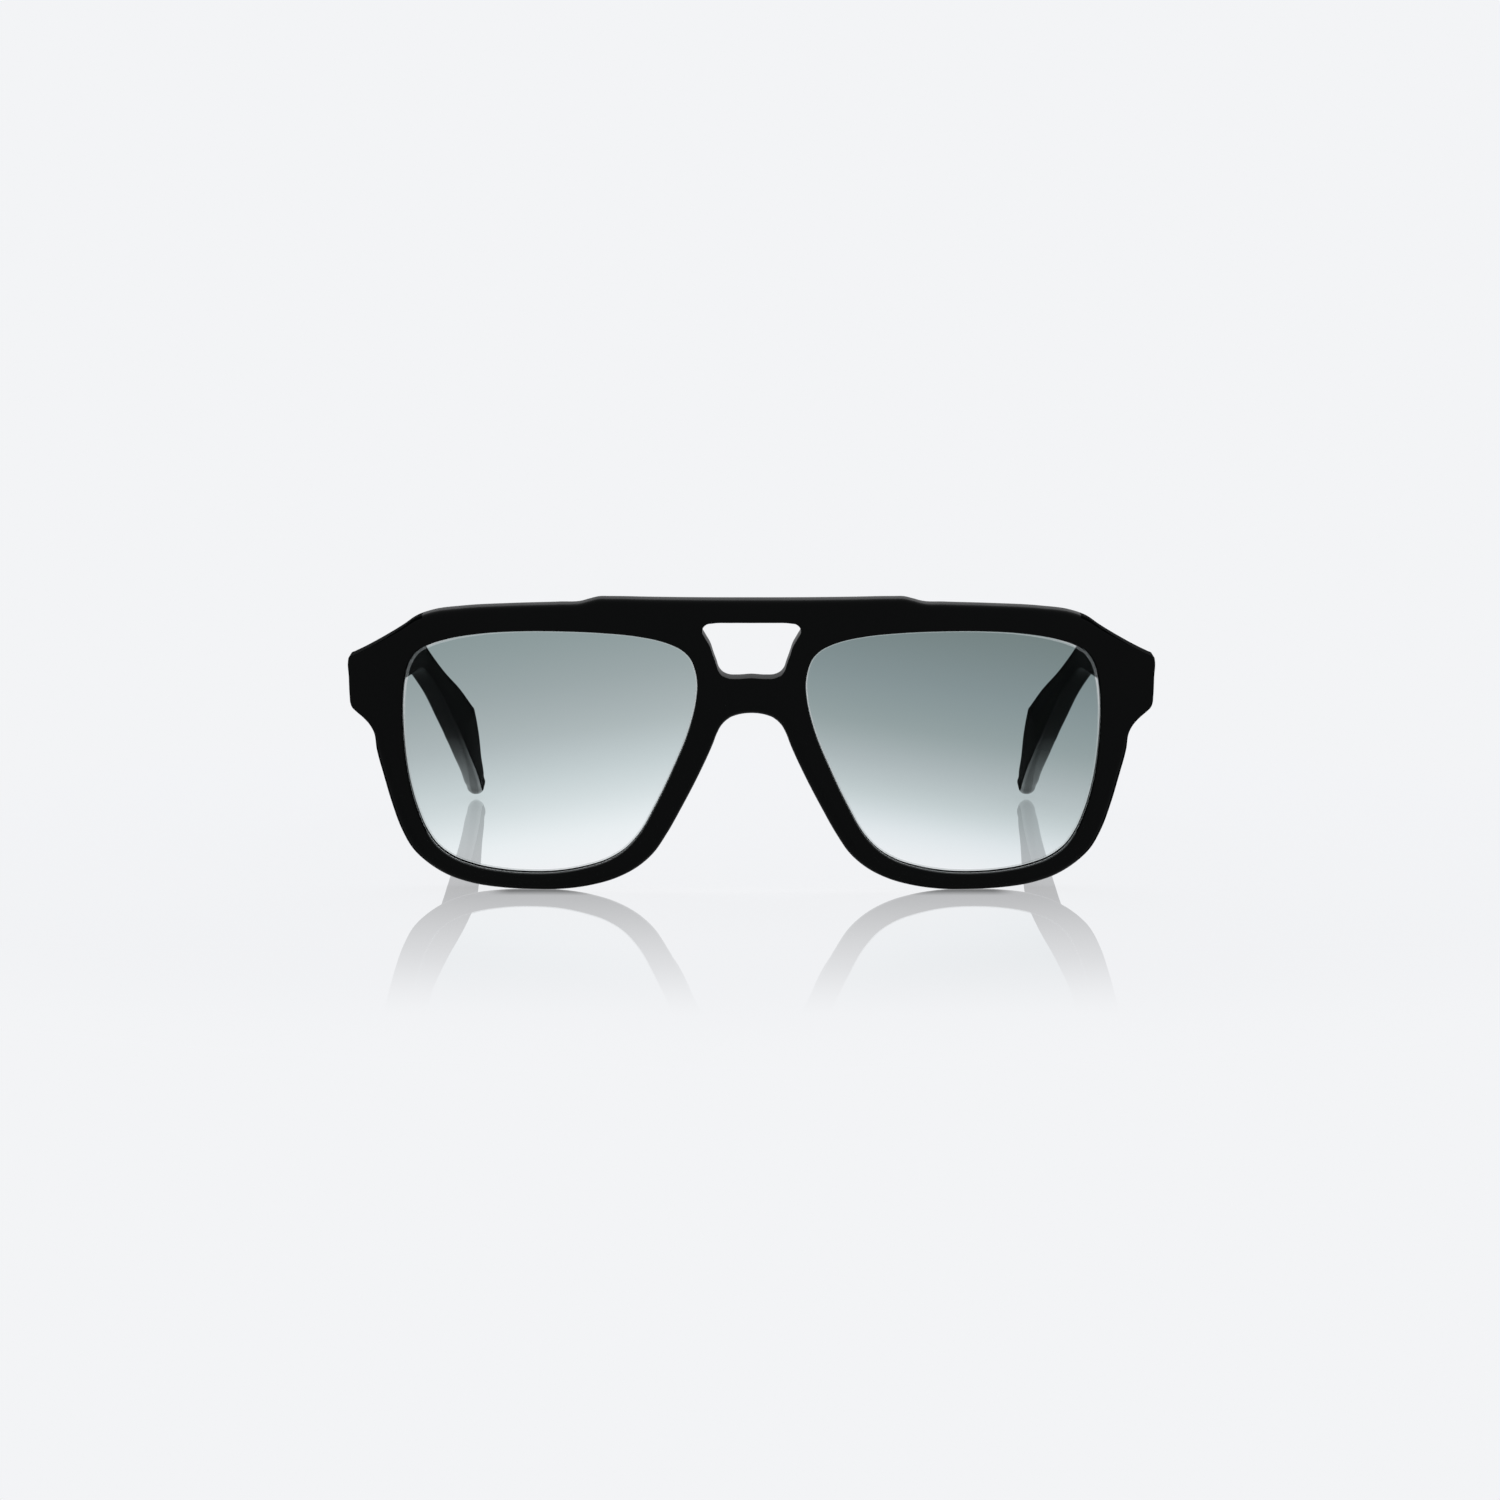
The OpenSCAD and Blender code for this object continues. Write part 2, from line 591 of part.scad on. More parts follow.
front_body();  // front_frame
lens(true);  // lens_left
lens(false);  // lens_right
nose_pad(true);  // nose_pad_left
nose_pad(false);  // nose_pad_right
front_hinge(true);  // front_hinge_left
front_hinge(false);  // front_hinge_right
front_hinge_screws(true);  // front_hinge_screws_left
front_hinge_screws(false);  // front_hinge_screws_right
temple(true);  // temple_left
temple(false);  // temple_right
temple_hinge(true);  // temple_hinge_left
temple_hinge(false);  // temple_hinge_right
temple_hinge_screws(true);  // temple_hinge_screws_left
temple_hinge_screws(false);  // temple_hinge_screws_right
hinge_screw(true);  // hinge_screw_left
hinge_screw(false);  // hinge_screw_right
core_wire(true);  // core_wire_left
core_wire(false);  // core_wire_right
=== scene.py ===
# %% [markdown]
# # Photochromic aviator glasses
# A flat black acetate front with a keyhole bridge, two lenses that are grey above and nearly
# clear below, and two temples on small metal hinges. They stand open on a glossy pale table.
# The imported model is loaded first, and every piece below is made in its frame, in metres.

# %% Load the model
import json
import math

import bmesh
import bpy
import numpy as np
from mathutils import Matrix, Vector
from mathutils.geometry import delaunay_2d_cdt

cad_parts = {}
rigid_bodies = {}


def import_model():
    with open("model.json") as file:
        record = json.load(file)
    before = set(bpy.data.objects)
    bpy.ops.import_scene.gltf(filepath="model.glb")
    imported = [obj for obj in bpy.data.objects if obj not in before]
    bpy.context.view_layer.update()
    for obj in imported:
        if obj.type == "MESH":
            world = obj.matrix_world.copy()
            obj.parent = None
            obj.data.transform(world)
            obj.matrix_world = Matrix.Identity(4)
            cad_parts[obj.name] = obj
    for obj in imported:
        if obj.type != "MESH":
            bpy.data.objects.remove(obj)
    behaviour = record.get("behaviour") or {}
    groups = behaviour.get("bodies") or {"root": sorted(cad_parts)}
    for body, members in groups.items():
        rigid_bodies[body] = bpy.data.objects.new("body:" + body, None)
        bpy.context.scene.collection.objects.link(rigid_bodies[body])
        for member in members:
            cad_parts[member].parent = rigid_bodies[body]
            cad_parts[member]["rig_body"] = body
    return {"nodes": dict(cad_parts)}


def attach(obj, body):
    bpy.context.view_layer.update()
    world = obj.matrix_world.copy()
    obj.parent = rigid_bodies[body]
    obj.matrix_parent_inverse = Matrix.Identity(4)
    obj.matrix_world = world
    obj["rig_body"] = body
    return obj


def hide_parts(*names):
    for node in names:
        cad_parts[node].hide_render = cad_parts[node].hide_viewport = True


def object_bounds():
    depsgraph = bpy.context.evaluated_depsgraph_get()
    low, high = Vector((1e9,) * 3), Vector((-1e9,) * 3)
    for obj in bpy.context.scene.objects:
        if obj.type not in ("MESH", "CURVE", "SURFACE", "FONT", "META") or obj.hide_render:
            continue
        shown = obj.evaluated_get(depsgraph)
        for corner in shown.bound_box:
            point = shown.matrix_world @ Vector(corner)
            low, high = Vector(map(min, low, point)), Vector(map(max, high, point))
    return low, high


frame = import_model()
cad_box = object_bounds()
nodes = frame["nodes"]

# %% [markdown]
# ## Where things are
# The front is drawn flat, in millimetres: x across the face, w up it, and a depth behind it.
# A real acetate front is milled flat and then bent over a warm former, so one function bends
# each point by the radius of that former, leans it, and gives its place on the table.

# %% Sizes and the bend of the front
MM = 0.001
WRAP_R, LEAN = 400.0, math.radians(6)
FRONT_W, FRONT_T, BROW_TOP = 144.2, 5.0, 53.2
EDGE_R, RIM_R, KEY_R, RELIEF = 1.2, 0.4, 0.3, 0.6
TOUCH_X = 39.5
TEMPLE_L, END_TO_PIVOT = 129, 6.5
KNUCKLE_R, KNUCKLE_CLEAR = 1.35, 0.4


def sag(x):
    return WRAP_R - np.sqrt(WRAP_R**2 - np.asarray(x, float) ** 2)


front_y = -sag(TOUCH_X) * math.cos(LEAN) - (BROW_TOP - EDGE_R) * math.sin(LEAN)
hinge_x = FRONT_W / 2 - END_TO_PIVOT
hinge_z = 37.6
hinge_wrap = math.asin(hinge_x / WRAP_R)
hinge_off = KNUCKLE_R + KNUCKLE_CLEAR
hinge_y = float(sag(hinge_x)) + FRONT_T + hinge_off / math.cos(hinge_wrap)
pivot_y = (hinge_y - float(sag(TOUCH_X))) * math.cos(LEAN) - hinge_z * math.sin(LEAN)
mid_y = float(front_y + pivot_y + TEMPLE_L) / 2


def on_front(p, depth):
    """Points (x, w) of the flat front at a depth behind its face, as places in metres."""
    p = np.asarray(p, float)
    t = sag(p[:, 0]) - float(sag(TOUCH_X)) + depth
    y = t * math.cos(LEAN) - p[:, 1] * math.sin(LEAN) - mid_y
    z = p[:, 1] * math.cos(LEAN) + t * math.sin(LEAN) - EDGE_R * math.sin(LEAN)
    return np.stack([p[:, 0], y, z], 1) * MM


print("middle of the glasses is", round(mid_y, 2), "mm behind the table line of the rims")

# %% [markdown]
# ## Smooth outlines
# A pattern maker draws such a shape through a few points with a flexible curve. The same is
# done here: each gap between two points becomes a cubic whose ends follow the neighbours.
# Offsetting the finished outline gives the rolled edges and the lens groove.

# %% Curves through points


def way(a, b, c):
    d, e = np.linalg.norm(b - a), np.linalg.norm(c - b)
    return ((b - a) / d * e + (c - b) / e * d) / (d + e)


def between(a, b, c, d, n):
    s = np.linalg.norm(c - b)
    m, k = way(a, b, c) * s, way(b, c, d) * s
    t = (np.arange(n) / n)[:, None]
    return (b * (2 * t**3 - 3 * t**2 + 1) + m * (t**3 - 2 * t**2 + t)
            + c * (3 * t**2 - 2 * t**3) + k * (t**3 - t**2))


def smooth_loop(points, n):
    p = np.asarray(points, float)
    c = len(p)
    return np.concatenate([between(p[i - 1], p[i], p[(i + 1) % c], p[(i + 2) % c], n)
                           for i in range(c)])


def smooth_path(points, n):
    p = np.asarray(points, float)
    q = np.concatenate([[2 * p[0] - p[1]], p, [2 * p[-1] - p[-2]]])
    parts = [between(q[i - 1], q[i], q[i + 1], q[i + 2], n) for i in range(1, len(q) - 2)]
    return np.concatenate(parts + [p[-1:]])


def grow(loop, distance):
    """A clockwise outline moved out by a distance, which may differ from point to point."""
    t = np.roll(loop, -1, 0) - np.roll(loop, 1, 0)
    n = np.stack([-t[:, 1], t[:, 0]], 1) / np.linalg.norm(t, axis=1)[:, None]
    return loop + n * np.reshape(distance, (-1, 1))


def both_sides(half):
    return half + [(-x, w) for x, w in half[-2:0:-1]]


# %% [markdown]
# ## The front
# The front is one piece of black cellulose acetate: a straight brow with a small step on each
# side, two rims, a keyhole between brow and bridge, and square end pieces for the hinges. The
# outlines are drawn for the right half and mirrored, so both halves are the same.

# %% Outlines of the front
brow = [(0, 53.2), (9, 53.2), (18, 53.25), (25, 53.3), (27.1, 53.25), (28.7, 52.85),
        (30.3, 52.4), (34, 52.2), (42.6, 51.8), (51.5, 51.15), (56.9, 50.3), (59.6, 49.3)]
end_piece = [(62.4, 47.35), (66.1, 45), (69.7, 42.95), (71.4, 42.1), (72, 41.8), (72.12, 41.3),
             (72.08, 38.3), (72, 34.6), (71.93, 33.6), (71.6, 32.7), (70.9, 32), (69.5, 30.8),
             (68.6, 29.8)]
cheek = [(67.85, 28.4), (67.4, 25), (66.2, 20.2), (64.8, 15.1), (63.1, 10.3), (61.2, 6.9),
         (58.5, 4.35), (55.2, 2.35), (50.5, 0.85), (45, 0.15), (39.5, 0), (34.3, 0.15),
         (29, 0.95), (24.5, 2.3), (20.5, 4.45)]
nose = [(17.6, 7.05), (15.2, 10.6), (12.6, 15.3), (9, 22.4), (6.9, 27.1), (6.1, 29.2),
        (5.4, 30.5), (4.3, 31.65), (2.6, 32.4), (0, 32.75)]
opening = [(14, 45.1), (16.2, 45.85), (20, 46.6), (26.7, 47.2), (33.8, 47.4), (40.9, 47.3),
           (48, 46.75), (54, 45.65), (57.2, 44.6), (59.6, 43.25), (61.1, 41.2), (62, 38),
           (62.5, 33.6), (62.5, 29), (62.2, 24.3), (61.5, 19.3), (60.15, 14.1), (58.5, 10.1),
           (56.7, 7.5), (54, 5.5), (50, 4.05), (45, 3.2), (39.8, 2.95), (35, 3.2),
           (30, 4.15), (26, 5.5), (22.8, 7.5), (20.4, 10.1), (17.1, 15.9), (14, 22.5),
           (11.3, 29.2), (9.85, 35.2), (9.65, 38.4), (10, 40.6), (10.9, 42.8), (12.3, 44.2)]
keyhole = [(0, 49.2), (3.6, 49.2), (6.8, 49.1), (8, 48.85), (8.6, 48.2), (8.7, 47.5),
           (8.2, 46.5), (7.35, 45), (6.78, 43.3), (6.21, 41.7), (5.8, 40.5), (5.15, 39.7),
           (4.1, 39.2), (2.5, 39.1), (0, 39.25)]
STEPS = 8
outer_loop = smooth_loop(both_sides(brow + end_piece + cheek + nose), STEPS)
key_loop = smooth_loop(both_sides(keyhole), STEPS)
lens_loop = smooth_loop(opening, STEPS)
print("outline points", len(outer_loop), len(key_loop), len(lens_loop))

# %% [markdown]
# ## Rolled edges
# After milling, the front is tumbled in wood chips for days, which rolls its edges over. The
# end pieces are filed afterwards to meet the temples, so their edges stay crisp. Each edge is
# a quarter circle of rows, and its radius fades from the brow to the end piece.

# %% Rows of points across an edge
EDGE_STEPS = 7
CRISP_X, CRISP_W, CRISP_SHARE = (57, 69.5), (24, 31), 0.88


def fade(v, low, high):
    t = np.clip((np.asarray(v, float) - low) / (high - low), 0, 1)
    return t * t * (3 - 2 * t)


def edge_radius(loop):
    x, w = np.abs(loop[:, 0]), loop[:, 1]
    crisp = fade(x, *CRISP_X) * fade(w, *CRISP_W)
    return EDGE_R * (1 - CRISP_SHARE * crisp)


def edge_rows(loop, radius, out, groove=(), relief=0.0):
    """Rows (points, depth) from the face to the back. Out is 1 for an outer edge, -1 for a hole."""
    rows = []
    for k in range(EDGE_STEPS + 1):
        a = math.pi / 2 * k / EDGE_STEPS
        rows.append((grow(loop, -out * radius * (1 - math.sin(a))), radius * (1 - math.cos(a))))
    back = [(grow(p, -out * relief), FRONT_T - d) for p, d in reversed(rows)]
    return rows + [(grow(loop, -out * inset), depth) for depth, inset in groove] + back


GROOVE_Y, GROOVE_D = 1.9, 0.8
GROOVE = [(GROOVE_Y - GROOVE_D, 0), (GROOVE_Y, GROOVE_D), (GROOVE_Y + GROOVE_D, 0)]


def flipped(loop):
    return loop * [-1, 1]


lens_r = np.full(len(lens_loop), RIM_R)
key_r = np.full(len(key_loop), KEY_R)
right_rows = edge_rows(lens_loop, lens_r, -1, GROOVE, RELIEF)
edges = [edge_rows(outer_loop, edge_radius(outer_loop), 1),
         edge_rows(key_loop, key_r, -1),
         right_rows,
         [(flipped(p), d) for p, d in right_rows]]
print("rows per edge", [len(e) for e in edges])

# %% [markdown]
# ## Faces of the front
# The wide faces between the edges could be one huge polygon, but then they wouldn't follow
# the bend. A grid of inner points joined by Delaunay triangles follows it closely. On the
# bridge the face is scooped by a third of a millimetre, with a soft line on each side.

# %% Fill a face
GRID_X, GRID_W, RIM_CLEAR, SCOOP_DEPTH = 1.3, 1.1, 0.35, 0.35


def inside(points, loops):
    """Even-odd test of points against several outlines."""
    odd = np.zeros(len(points), bool)
    for loop in loops:
        a, b = loop, np.roll(loop, -1, 0)
        for (x0, y0), (x1, y1) in zip(a, b):
            if y0 != y1:
                hit = (y0 > points[:, 1]) != (y1 > points[:, 1])
                cross = x0 + (points[:, 1] - y0) * (x1 - x0) / (y1 - y0)
                odd ^= hit & (points[:, 0] < cross)
    return odd


def scoop_half(w):
    """Half the width of the scoop at a height on the bridge."""
    return 4.2 + (w - 34) * 0.155


def scoop(p):
    """Depth of the shallow scoop on the front of the bridge."""
    half = scoop_half(p[:, 1])
    side = 1 - fade(np.abs(p[:, 0]), half - 0.2, half + 0.25)
    return SCOOP_DEPTH * side * (1 - fade(p[:, 1], 43, 44))


def fill_face(loops):
    """(inner points, triangles). The numbers of the loops' own points come first."""
    low, high = loops[0].min(0), loops[0].max(0)
    grid = [(x, w) for j, w in enumerate(np.arange(low[1], high[1], GRID_W))
            for x in np.arange(low[0] + GRID_X / 2 * (j % 2), high[0], GRID_X)]
    grid += [(s * x, w) for s in (-1, 1) for w in np.arange(32.9, 40, 0.45)
             for x in (scoop_half(w) + np.array([-0.3, -0.08, 0.14, 0.36]))]
    grid = np.array(grid)
    grid = grid[inside(grid, loops)]
    rim = np.concatenate(loops)
    near = np.array([np.min(np.sum((rim - g) ** 2, 1)) for g in grid])
    grid = grid[near > RIM_CLEAR**2]
    points = np.concatenate([rim, grid])
    sides, start = [], 0
    for loop in loops:
        c = len(loop)
        sides += [(start + i, start + (i + 1) % c) for i in range(c)]
        start += c
    out = delaunay_2d_cdt([Vector(p) for p in points], sides, [], 0, 1e-7)
    back = [o[0] if o else -1 for o in out[3]]
    faces = [tuple(back[v] for v in f) for f in out[2]]
    middle = np.array([points[list(f)].mean(0) for f in faces])
    keep = inside(middle, loops)
    return grid, [f for f, k in zip(faces, keep) if k]


# %% Make objects


def placed(name, data):
    """A new object, linked to the scene."""
    thing = bpy.data.objects.new(name, data)
    bpy.context.scene.collection.objects.link(thing)
    return thing


def from_bmesh(name, bm):
    mesh = bpy.data.meshes.new(name)
    bm.to_mesh(mesh)
    bm.free()
    return placed(name, mesh)


def mesh_object(name, points, faces):
    mesh = bpy.data.meshes.new(name)
    mesh.from_pydata([tuple(p) for p in points], [], faces)
    mesh.validate()
    bm = bmesh.new()
    bm.from_mesh(mesh)
    bmesh.ops.remove_doubles(bm, verts=bm.verts, dist=1e-7)
    bmesh.ops.recalc_face_normals(bm, faces=bm.faces)
    bm.to_mesh(mesh)
    bm.free()
    return placed(name, mesh)


def smooth(thing, angle=35):
    thing.data.polygons.foreach_set("use_smooth", [True] * len(thing.data.polygons))
    thing.data.set_sharp_from_angle(angle=math.radians(angle))


# %% Build the front


def build_front():
    points, faces, first = [], [], []
    for rows in edges:
        base, c = len(points), len(rows[0][0])
        for j, (p, d) in enumerate(rows):
            extra = scoop(p) if j <= EDGE_STEPS else 0
            points.extend(on_front(p, d + extra))
            if j:
                a, b = base + (j - 1) * c, base + j * c
                faces += [(a + i, b + i, b + (i + 1) % c, a + (i + 1) % c) for i in range(c)]
        first.append((base, base + (len(rows) - 1) * c, c))
    for back in (0, 1):
        loops = [rows[-back][0] for rows in edges]
        grid, triangles = fill_face(loops)
        number = np.concatenate([np.arange(f[back], f[back] + f[2]) for f in first]
                                + [np.arange(len(points), len(points) + len(grid))])
        depth = FRONT_T if back else scoop(grid)
        points.extend(on_front(grid, depth))
        faces += [tuple(int(number[v]) for v in f) for f in triangles]
    return mesh_object("acetate_front", points, faces)


front = build_front()
print("front", len(front.data.vertices), "points", len(front.data.polygons), "faces")

# %% [markdown]
# ## Pockets for the hinges
# A hinge plate is sunk into the acetate, so it lies flush. On the bench that pocket is milled,
# and here a box is cut from the mesh with a Boolean modifier, which is then applied.

# %% Cut a box out of a piece


def place_at_hinge(left=False):
    m = (Matrix.Translation((0, -mid_y, -EDGE_R * math.sin(LEAN))) @ Matrix.Rotation(LEAN, 4, "X")
         @ Matrix.Translation((hinge_x, hinge_y - float(sag(TOUCH_X)), hinge_z)))
    return (Matrix.Scale(-1, 4, (1, 0, 0)) @ m) if left else m


def box_at_hinge(low, high, turn, left):
    bm = bmesh.new()
    bmesh.ops.create_cube(bm, size=1)
    size = Vector(high) - Vector(low)
    m = (Matrix.Scale(MM, 4) @ place_at_hinge(left) @ Matrix.Rotation(turn, 4, "Z")
         @ Matrix.Translation((Vector(low) + Vector(high)) / 2) @ Matrix.Diagonal((*size, 1)))
    bm.transform(m)
    bmesh.ops.recalc_face_normals(bm, faces=bm.faces)
    return from_bmesh("cutter", bm)


def settle(thing):
    """Applies a piece's modifiers and leaves a plain mesh."""
    dg = bpy.context.evaluated_depsgraph_get()
    mesh = bpy.data.meshes.new_from_object(thing.evaluated_get(dg))
    thing.modifiers.clear()
    thing.data = mesh


def cut(thing, cutters):
    for c in cutters:
        m = thing.modifiers.new("pocket", "BOOLEAN")
        m.operation, m.solver, m.object = "DIFFERENCE", "EXACT", c
    settle(thing)
    for c in cutters:
        bpy.data.objects.remove(c)


PLATE_X, PLATE_T = (-1.52, 5.12), 1.0
POCKET_D, POCKET_H, PAST_FACE = 1.02, 3.22, 2
cut(front, [box_at_hinge((PLATE_X[0], -hinge_off - POCKET_D, -POCKET_H),
                         (PLATE_X[1], PAST_FACE, POCKET_H), hinge_wrap, left)
            for left in (False, True)])
smooth(front)
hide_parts("front_frame")
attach(front, "front")
print("front with pockets", len(front.data.polygons), "faces")

# %% [markdown]
# ## Nose pads
# On an acetate front the nose pads are small fins of the same material, bonded to the back of
# the rims and rounded by hand. Each is a stack of shrinking ovals, close together at the top.

# %% Build the nose pads
PAD_H, PAD_L, PAD_W = 6.0, 19.0, 3.4
PAD_MID, PAD_TURN, PAD_SPLAY, BOND = (12.35, 19.6), math.radians(65.5), 0.16, 0.02
PAD_ROWS, PAD_ROUND, PAD_CAP = 15, 72, 0.93


def nose_pad(left):
    rows = []
    for h in np.sin(np.linspace(0, math.pi / 2, PAD_ROWS)) * 0.995:
        cap = h > PAD_CAP
        s = math.sqrt(max(0.002, 1 - h * h * (1 if cap else 0.97)))
        length, width = PAD_L / 2 * (0.35 + 0.65 * s), PAD_W / 2 * s
        if cap:
            length *= fade(1 - h, -0.012, 0.05) * 0.5 + 0.5
        a = np.arange(PAD_ROUND) * 2 * math.pi / PAD_ROUND
        u, v = np.cos(a) * length, np.sin(a) * width * (1 - 0.22 * np.cos(a))
        x = (PAD_MID[0] + PAD_SPLAY * PAD_H * h - u * math.cos(PAD_TURN)
             + v * math.sin(PAD_TURN))
        w = PAD_MID[1] + u * math.sin(PAD_TURN) + v * math.cos(PAD_TURN)
        p = np.stack([-x if left else x, w], 1)
        rows.append(on_front(p, FRONT_T + BOND + PAD_H * h))
    return rows


def skin(name, rows):
    """A closed mesh over rows of points, its ends filled."""
    c, points, faces = len(rows[0]), [], []
    for j, row in enumerate(rows):
        points.extend(row)
        if j:
            a, b = (j - 1) * c, j * c
            faces += [(a + i, b + i, b + (i + 1) % c, a + (i + 1) % c) for i in range(c)]
    points += [rows[0].mean(0), rows[-1].mean(0)]
    last = (len(rows) - 1) * c
    faces += [(last + c, i, (i + 1) % c) for i in range(c)]
    faces += [(last + c + 1, last + (i + 1) % c, last + i) for i in range(c)]
    return mesh_object(name, points, faces)


pads = {}
for side in ("left", "right"):
    pads[side] = skin("acetate_nose_pad_" + side, nose_pad(side == "left"))
    smooth(pads[side], 60)
    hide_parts("nose_pad_" + side)
    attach(pads[side], "front")
print("nose pads", len(pads["left"].data.polygons), "faces each")

# %% [markdown]
# ## Lenses
# A lens is a thin bulged shell. Its rim is ground to a bevel that snaps into the groove of
# the acetate, and the ground part is frosted, so it shows as a fine pale line round the lens.
# The line is widest in the upper outer corner, where the lens stands proud of its groove.

# %% Build the lenses
LENS_T, LENS_BULGE, LENS_GAP = 2.0, 1.1, 0.04
PROUD_AT, PROUD_R, BAND, BAND_MORE, LAND = (59.5, 42), 8.5, 0.2, 0.3, 0.12
lens_front = GROOVE_Y - LENS_T / 2
lens_edge = GROOVE_D - LENS_GAP
lens_mid = np.array([36, 25.6])


def lens_rows():
    rim = grow(lens_loop, -LENS_GAP)
    corner = np.exp(-np.sum((lens_loop - PROUD_AT) ** 2, 1) / (2 * PROUD_R**2))
    ground = grow(lens_loop, -(LENS_GAP + BAND + BAND_MORE * corner))
    rows = []
    for s in [0.08] + list(np.linspace(0.2, 0.96, 12)):
        rows.append((lens_mid + (ground - lens_mid) * s, lens_front - LENS_BULGE * (1 - s * s)))
    rows.append((ground, lens_front))
    outer = [(rim, lens_front + LAND), (rim, GROOVE_Y - lens_edge),
             (grow(lens_loop, lens_edge - LENS_GAP), GROOVE_Y), (rim, GROOVE_Y + lens_edge),
             (rim, lens_front + LENS_T)]
    behind = [(p, d + LENS_T) for p, d in reversed(rows)]
    return rows, outer, behind


def build_lens(left):
    a, b, c = lens_rows()
    rows = [on_front(flipped(p) if left else p, d) for p, d in a + b + c]
    thing = skin("photochromic_lens_" + ("left" if left else "right"), rows)
    return thing, len(a)


lenses = {}
for side in ("left", "right"):
    thing, split = build_lens(side == "left")
    smooth(thing, 30)
    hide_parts("lens_" + side)
    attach(thing, "front")
    lenses[side] = thing
print("lens", len(thing.data.polygons), "faces, bevel starts after row", split)

# %% [markdown]
# ## Temples
# Each temple is cut from a sheet of acetate a little under 4 mm thick, with a metal core shot
# through it. It runs straight back from the hinge, turns down behind the ear and tapers to a
# thin tip. A row of sections follows that line, each from its lower to its upper edge.

# %% Sections along a temple
TEMPLE_T, TEMPLE_R, OUTER_X = 3.9, 0.7, 72
OPEN_GAP, FIT, LEAF_BACK, LEAF_L = 0.25, 0.02, 0.3, 9.62
MITRE_FROM, BODY_FROM = -2.0, 1.5
temple_rows = [
    (-14, 33, 72, -14, 42.3, 72, 1), (4, 33.1, 72, 4, 42.2, 72, 1),
    (14, 33.2, 72, 14, 42, 72, 1), (30, 33.3, 71.5, 30, 41.2, 71.5, 1),
    (48, 33.1, 71.1, 48, 40.1, 71.1, 1), (66, 32.7, 70.9, 67, 39.1, 70.9, 1),
    (76, 32.5, 70.7, 79, 38.5, 70.7, 1), (82, 31.2, 70.2, 86.5, 35.9, 70.4, 1),
    (88, 26.4, 67.9, 95, 30.6, 67.9, 0.98), (94, 20.8, 66.1, 103.3, 25.8, 65, 0.96),
    (99.1, 16.4, 64.8, 108.8, 21.9, 63.05, 0.95), (100, 15.6, 64.6, 109.8, 21.2, 62.7, 0.95),
    (101, 14.9, 64.4, 110.7, 20.3, 62.6, 0.95), (106.5, 11.1, 63.5, 115.6, 15.4, 62.2, 0.93),
    (113.5, 6.9, 62.6, 121, 9.7, 62.05, 0.9), (120.5, 2.9, 62.1, 126, 5, 61.75, 0.86),
    (124.8, 0.7, 61.6, 128.4, 2.9, 61.35, 0.7), (126.4, 0.6, 61.1, 128.9, 2.3, 61.3, 0.42)]


def section(v, steps=7, less=0.0):
    """Rounded section between the lower and upper edge, as places in millimetres."""
    low = np.array([v[2], v[0] + pivot_y, v[1]])
    top = np.array([v[5], v[3] + pivot_y, v[4]])
    h = np.linalg.norm(top - low)
    up, t = (top - low) / h, v[6] * TEMPLE_T
    r = min(TEMPLE_R + float(fade(-v[6], -0.93, -0.75)), 0.45 * t, 0.45 * h)
    a = np.linspace(0, math.pi / 2, steps)
    pairs = ([(h - r + r * math.sin(q), t - r + r * math.cos(q)) for q in a]
             + [(h - r + r * math.cos(q), r - r * math.sin(q)) for q in a]
             + [(r - r * math.sin(q), r - r * math.cos(q)) for q in a]
             + [(r - r * math.cos(q), t - r + r * math.sin(q)) for q in a])
    if less:
        pairs = [(h / 2 + (i - h / 2) * (1 - 2 * less / h),
                  t / 2 + (j - t / 2) * (1 - 2 * less / t)) for i, j in pairs]
    return np.array([low + up * i - np.array([j, 0, 0]) for i, j in pairs])


def mitre(points, behind):
    """Moves points along the temple onto the surface that stands off the back of the front."""
    p = points.copy()
    t = sag(p[:, 0]) - float(sag(TOUCH_X)) + FRONT_T + OPEN_GAP + behind
    w = (p[:, 2] + EDGE_R * math.sin(LEAN) - t * math.sin(LEAN)) / math.cos(LEAN)
    p[:, 1] = t * math.cos(LEAN) - w * math.sin(LEAN)
    return p


# %% Build the temples
leaf_x = OUTER_X - TEMPLE_T - hinge_x
leaf_y = (leaf_x + PLATE_T) * math.tan(hinge_wrap) - hinge_off / math.cos(hinge_wrap) + LEAF_BACK


def temple(left):
    path = smooth_path(temple_rows, 8)
    start = path[np.searchsorted(path[:, 0], MITRE_FROM)]
    rows = [mitre(section(start, less=0.22), 0), mitre(section(start, less=0.06), 0.07),
            mitre(section(start), 0.25)]
    rows += [section(v) for v in path if v[0] > BODY_FROM]
    end = path[-1].copy()
    for less, on in ((0.12, 0.14), (0.28, 0.22)):
        last = section(end, less=less)
        last[:, 1] += on
        last[:, 2] -= on * 0.5
        rows.append(last)
    side = -1 if left else 1
    rows = [(r - [0, mid_y, 0]) * [side, 1, 1] * MM for r in rows]
    thing = skin("acetate_temple_" + ("left" if left else "right"), rows)
    cut(thing, [box_at_hinge((leaf_x - PLATE_T, leaf_y - FIT, -POCKET_H),
                             (leaf_x + POCKET_D, leaf_y + LEAF_L, POCKET_H), 0, left)])
    smooth(thing)
    return thing


temples = {}
for side in ("left", "right"):
    temples[side] = temple(side == "left")
    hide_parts("temple_" + side)
    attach(temples[side], "temple_" + side)
print("temple", len(temples["left"].data.polygons), "faces")

# %% [markdown]
# ## Hinges
# The hinges are five-knuckle blanks of nickel silver, barrelled after milling so that no edge
# is sharp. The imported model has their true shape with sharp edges. A copy of each is welded,
# its flat triangles joined, and a fine bevel breaks the edges as the barrel does.

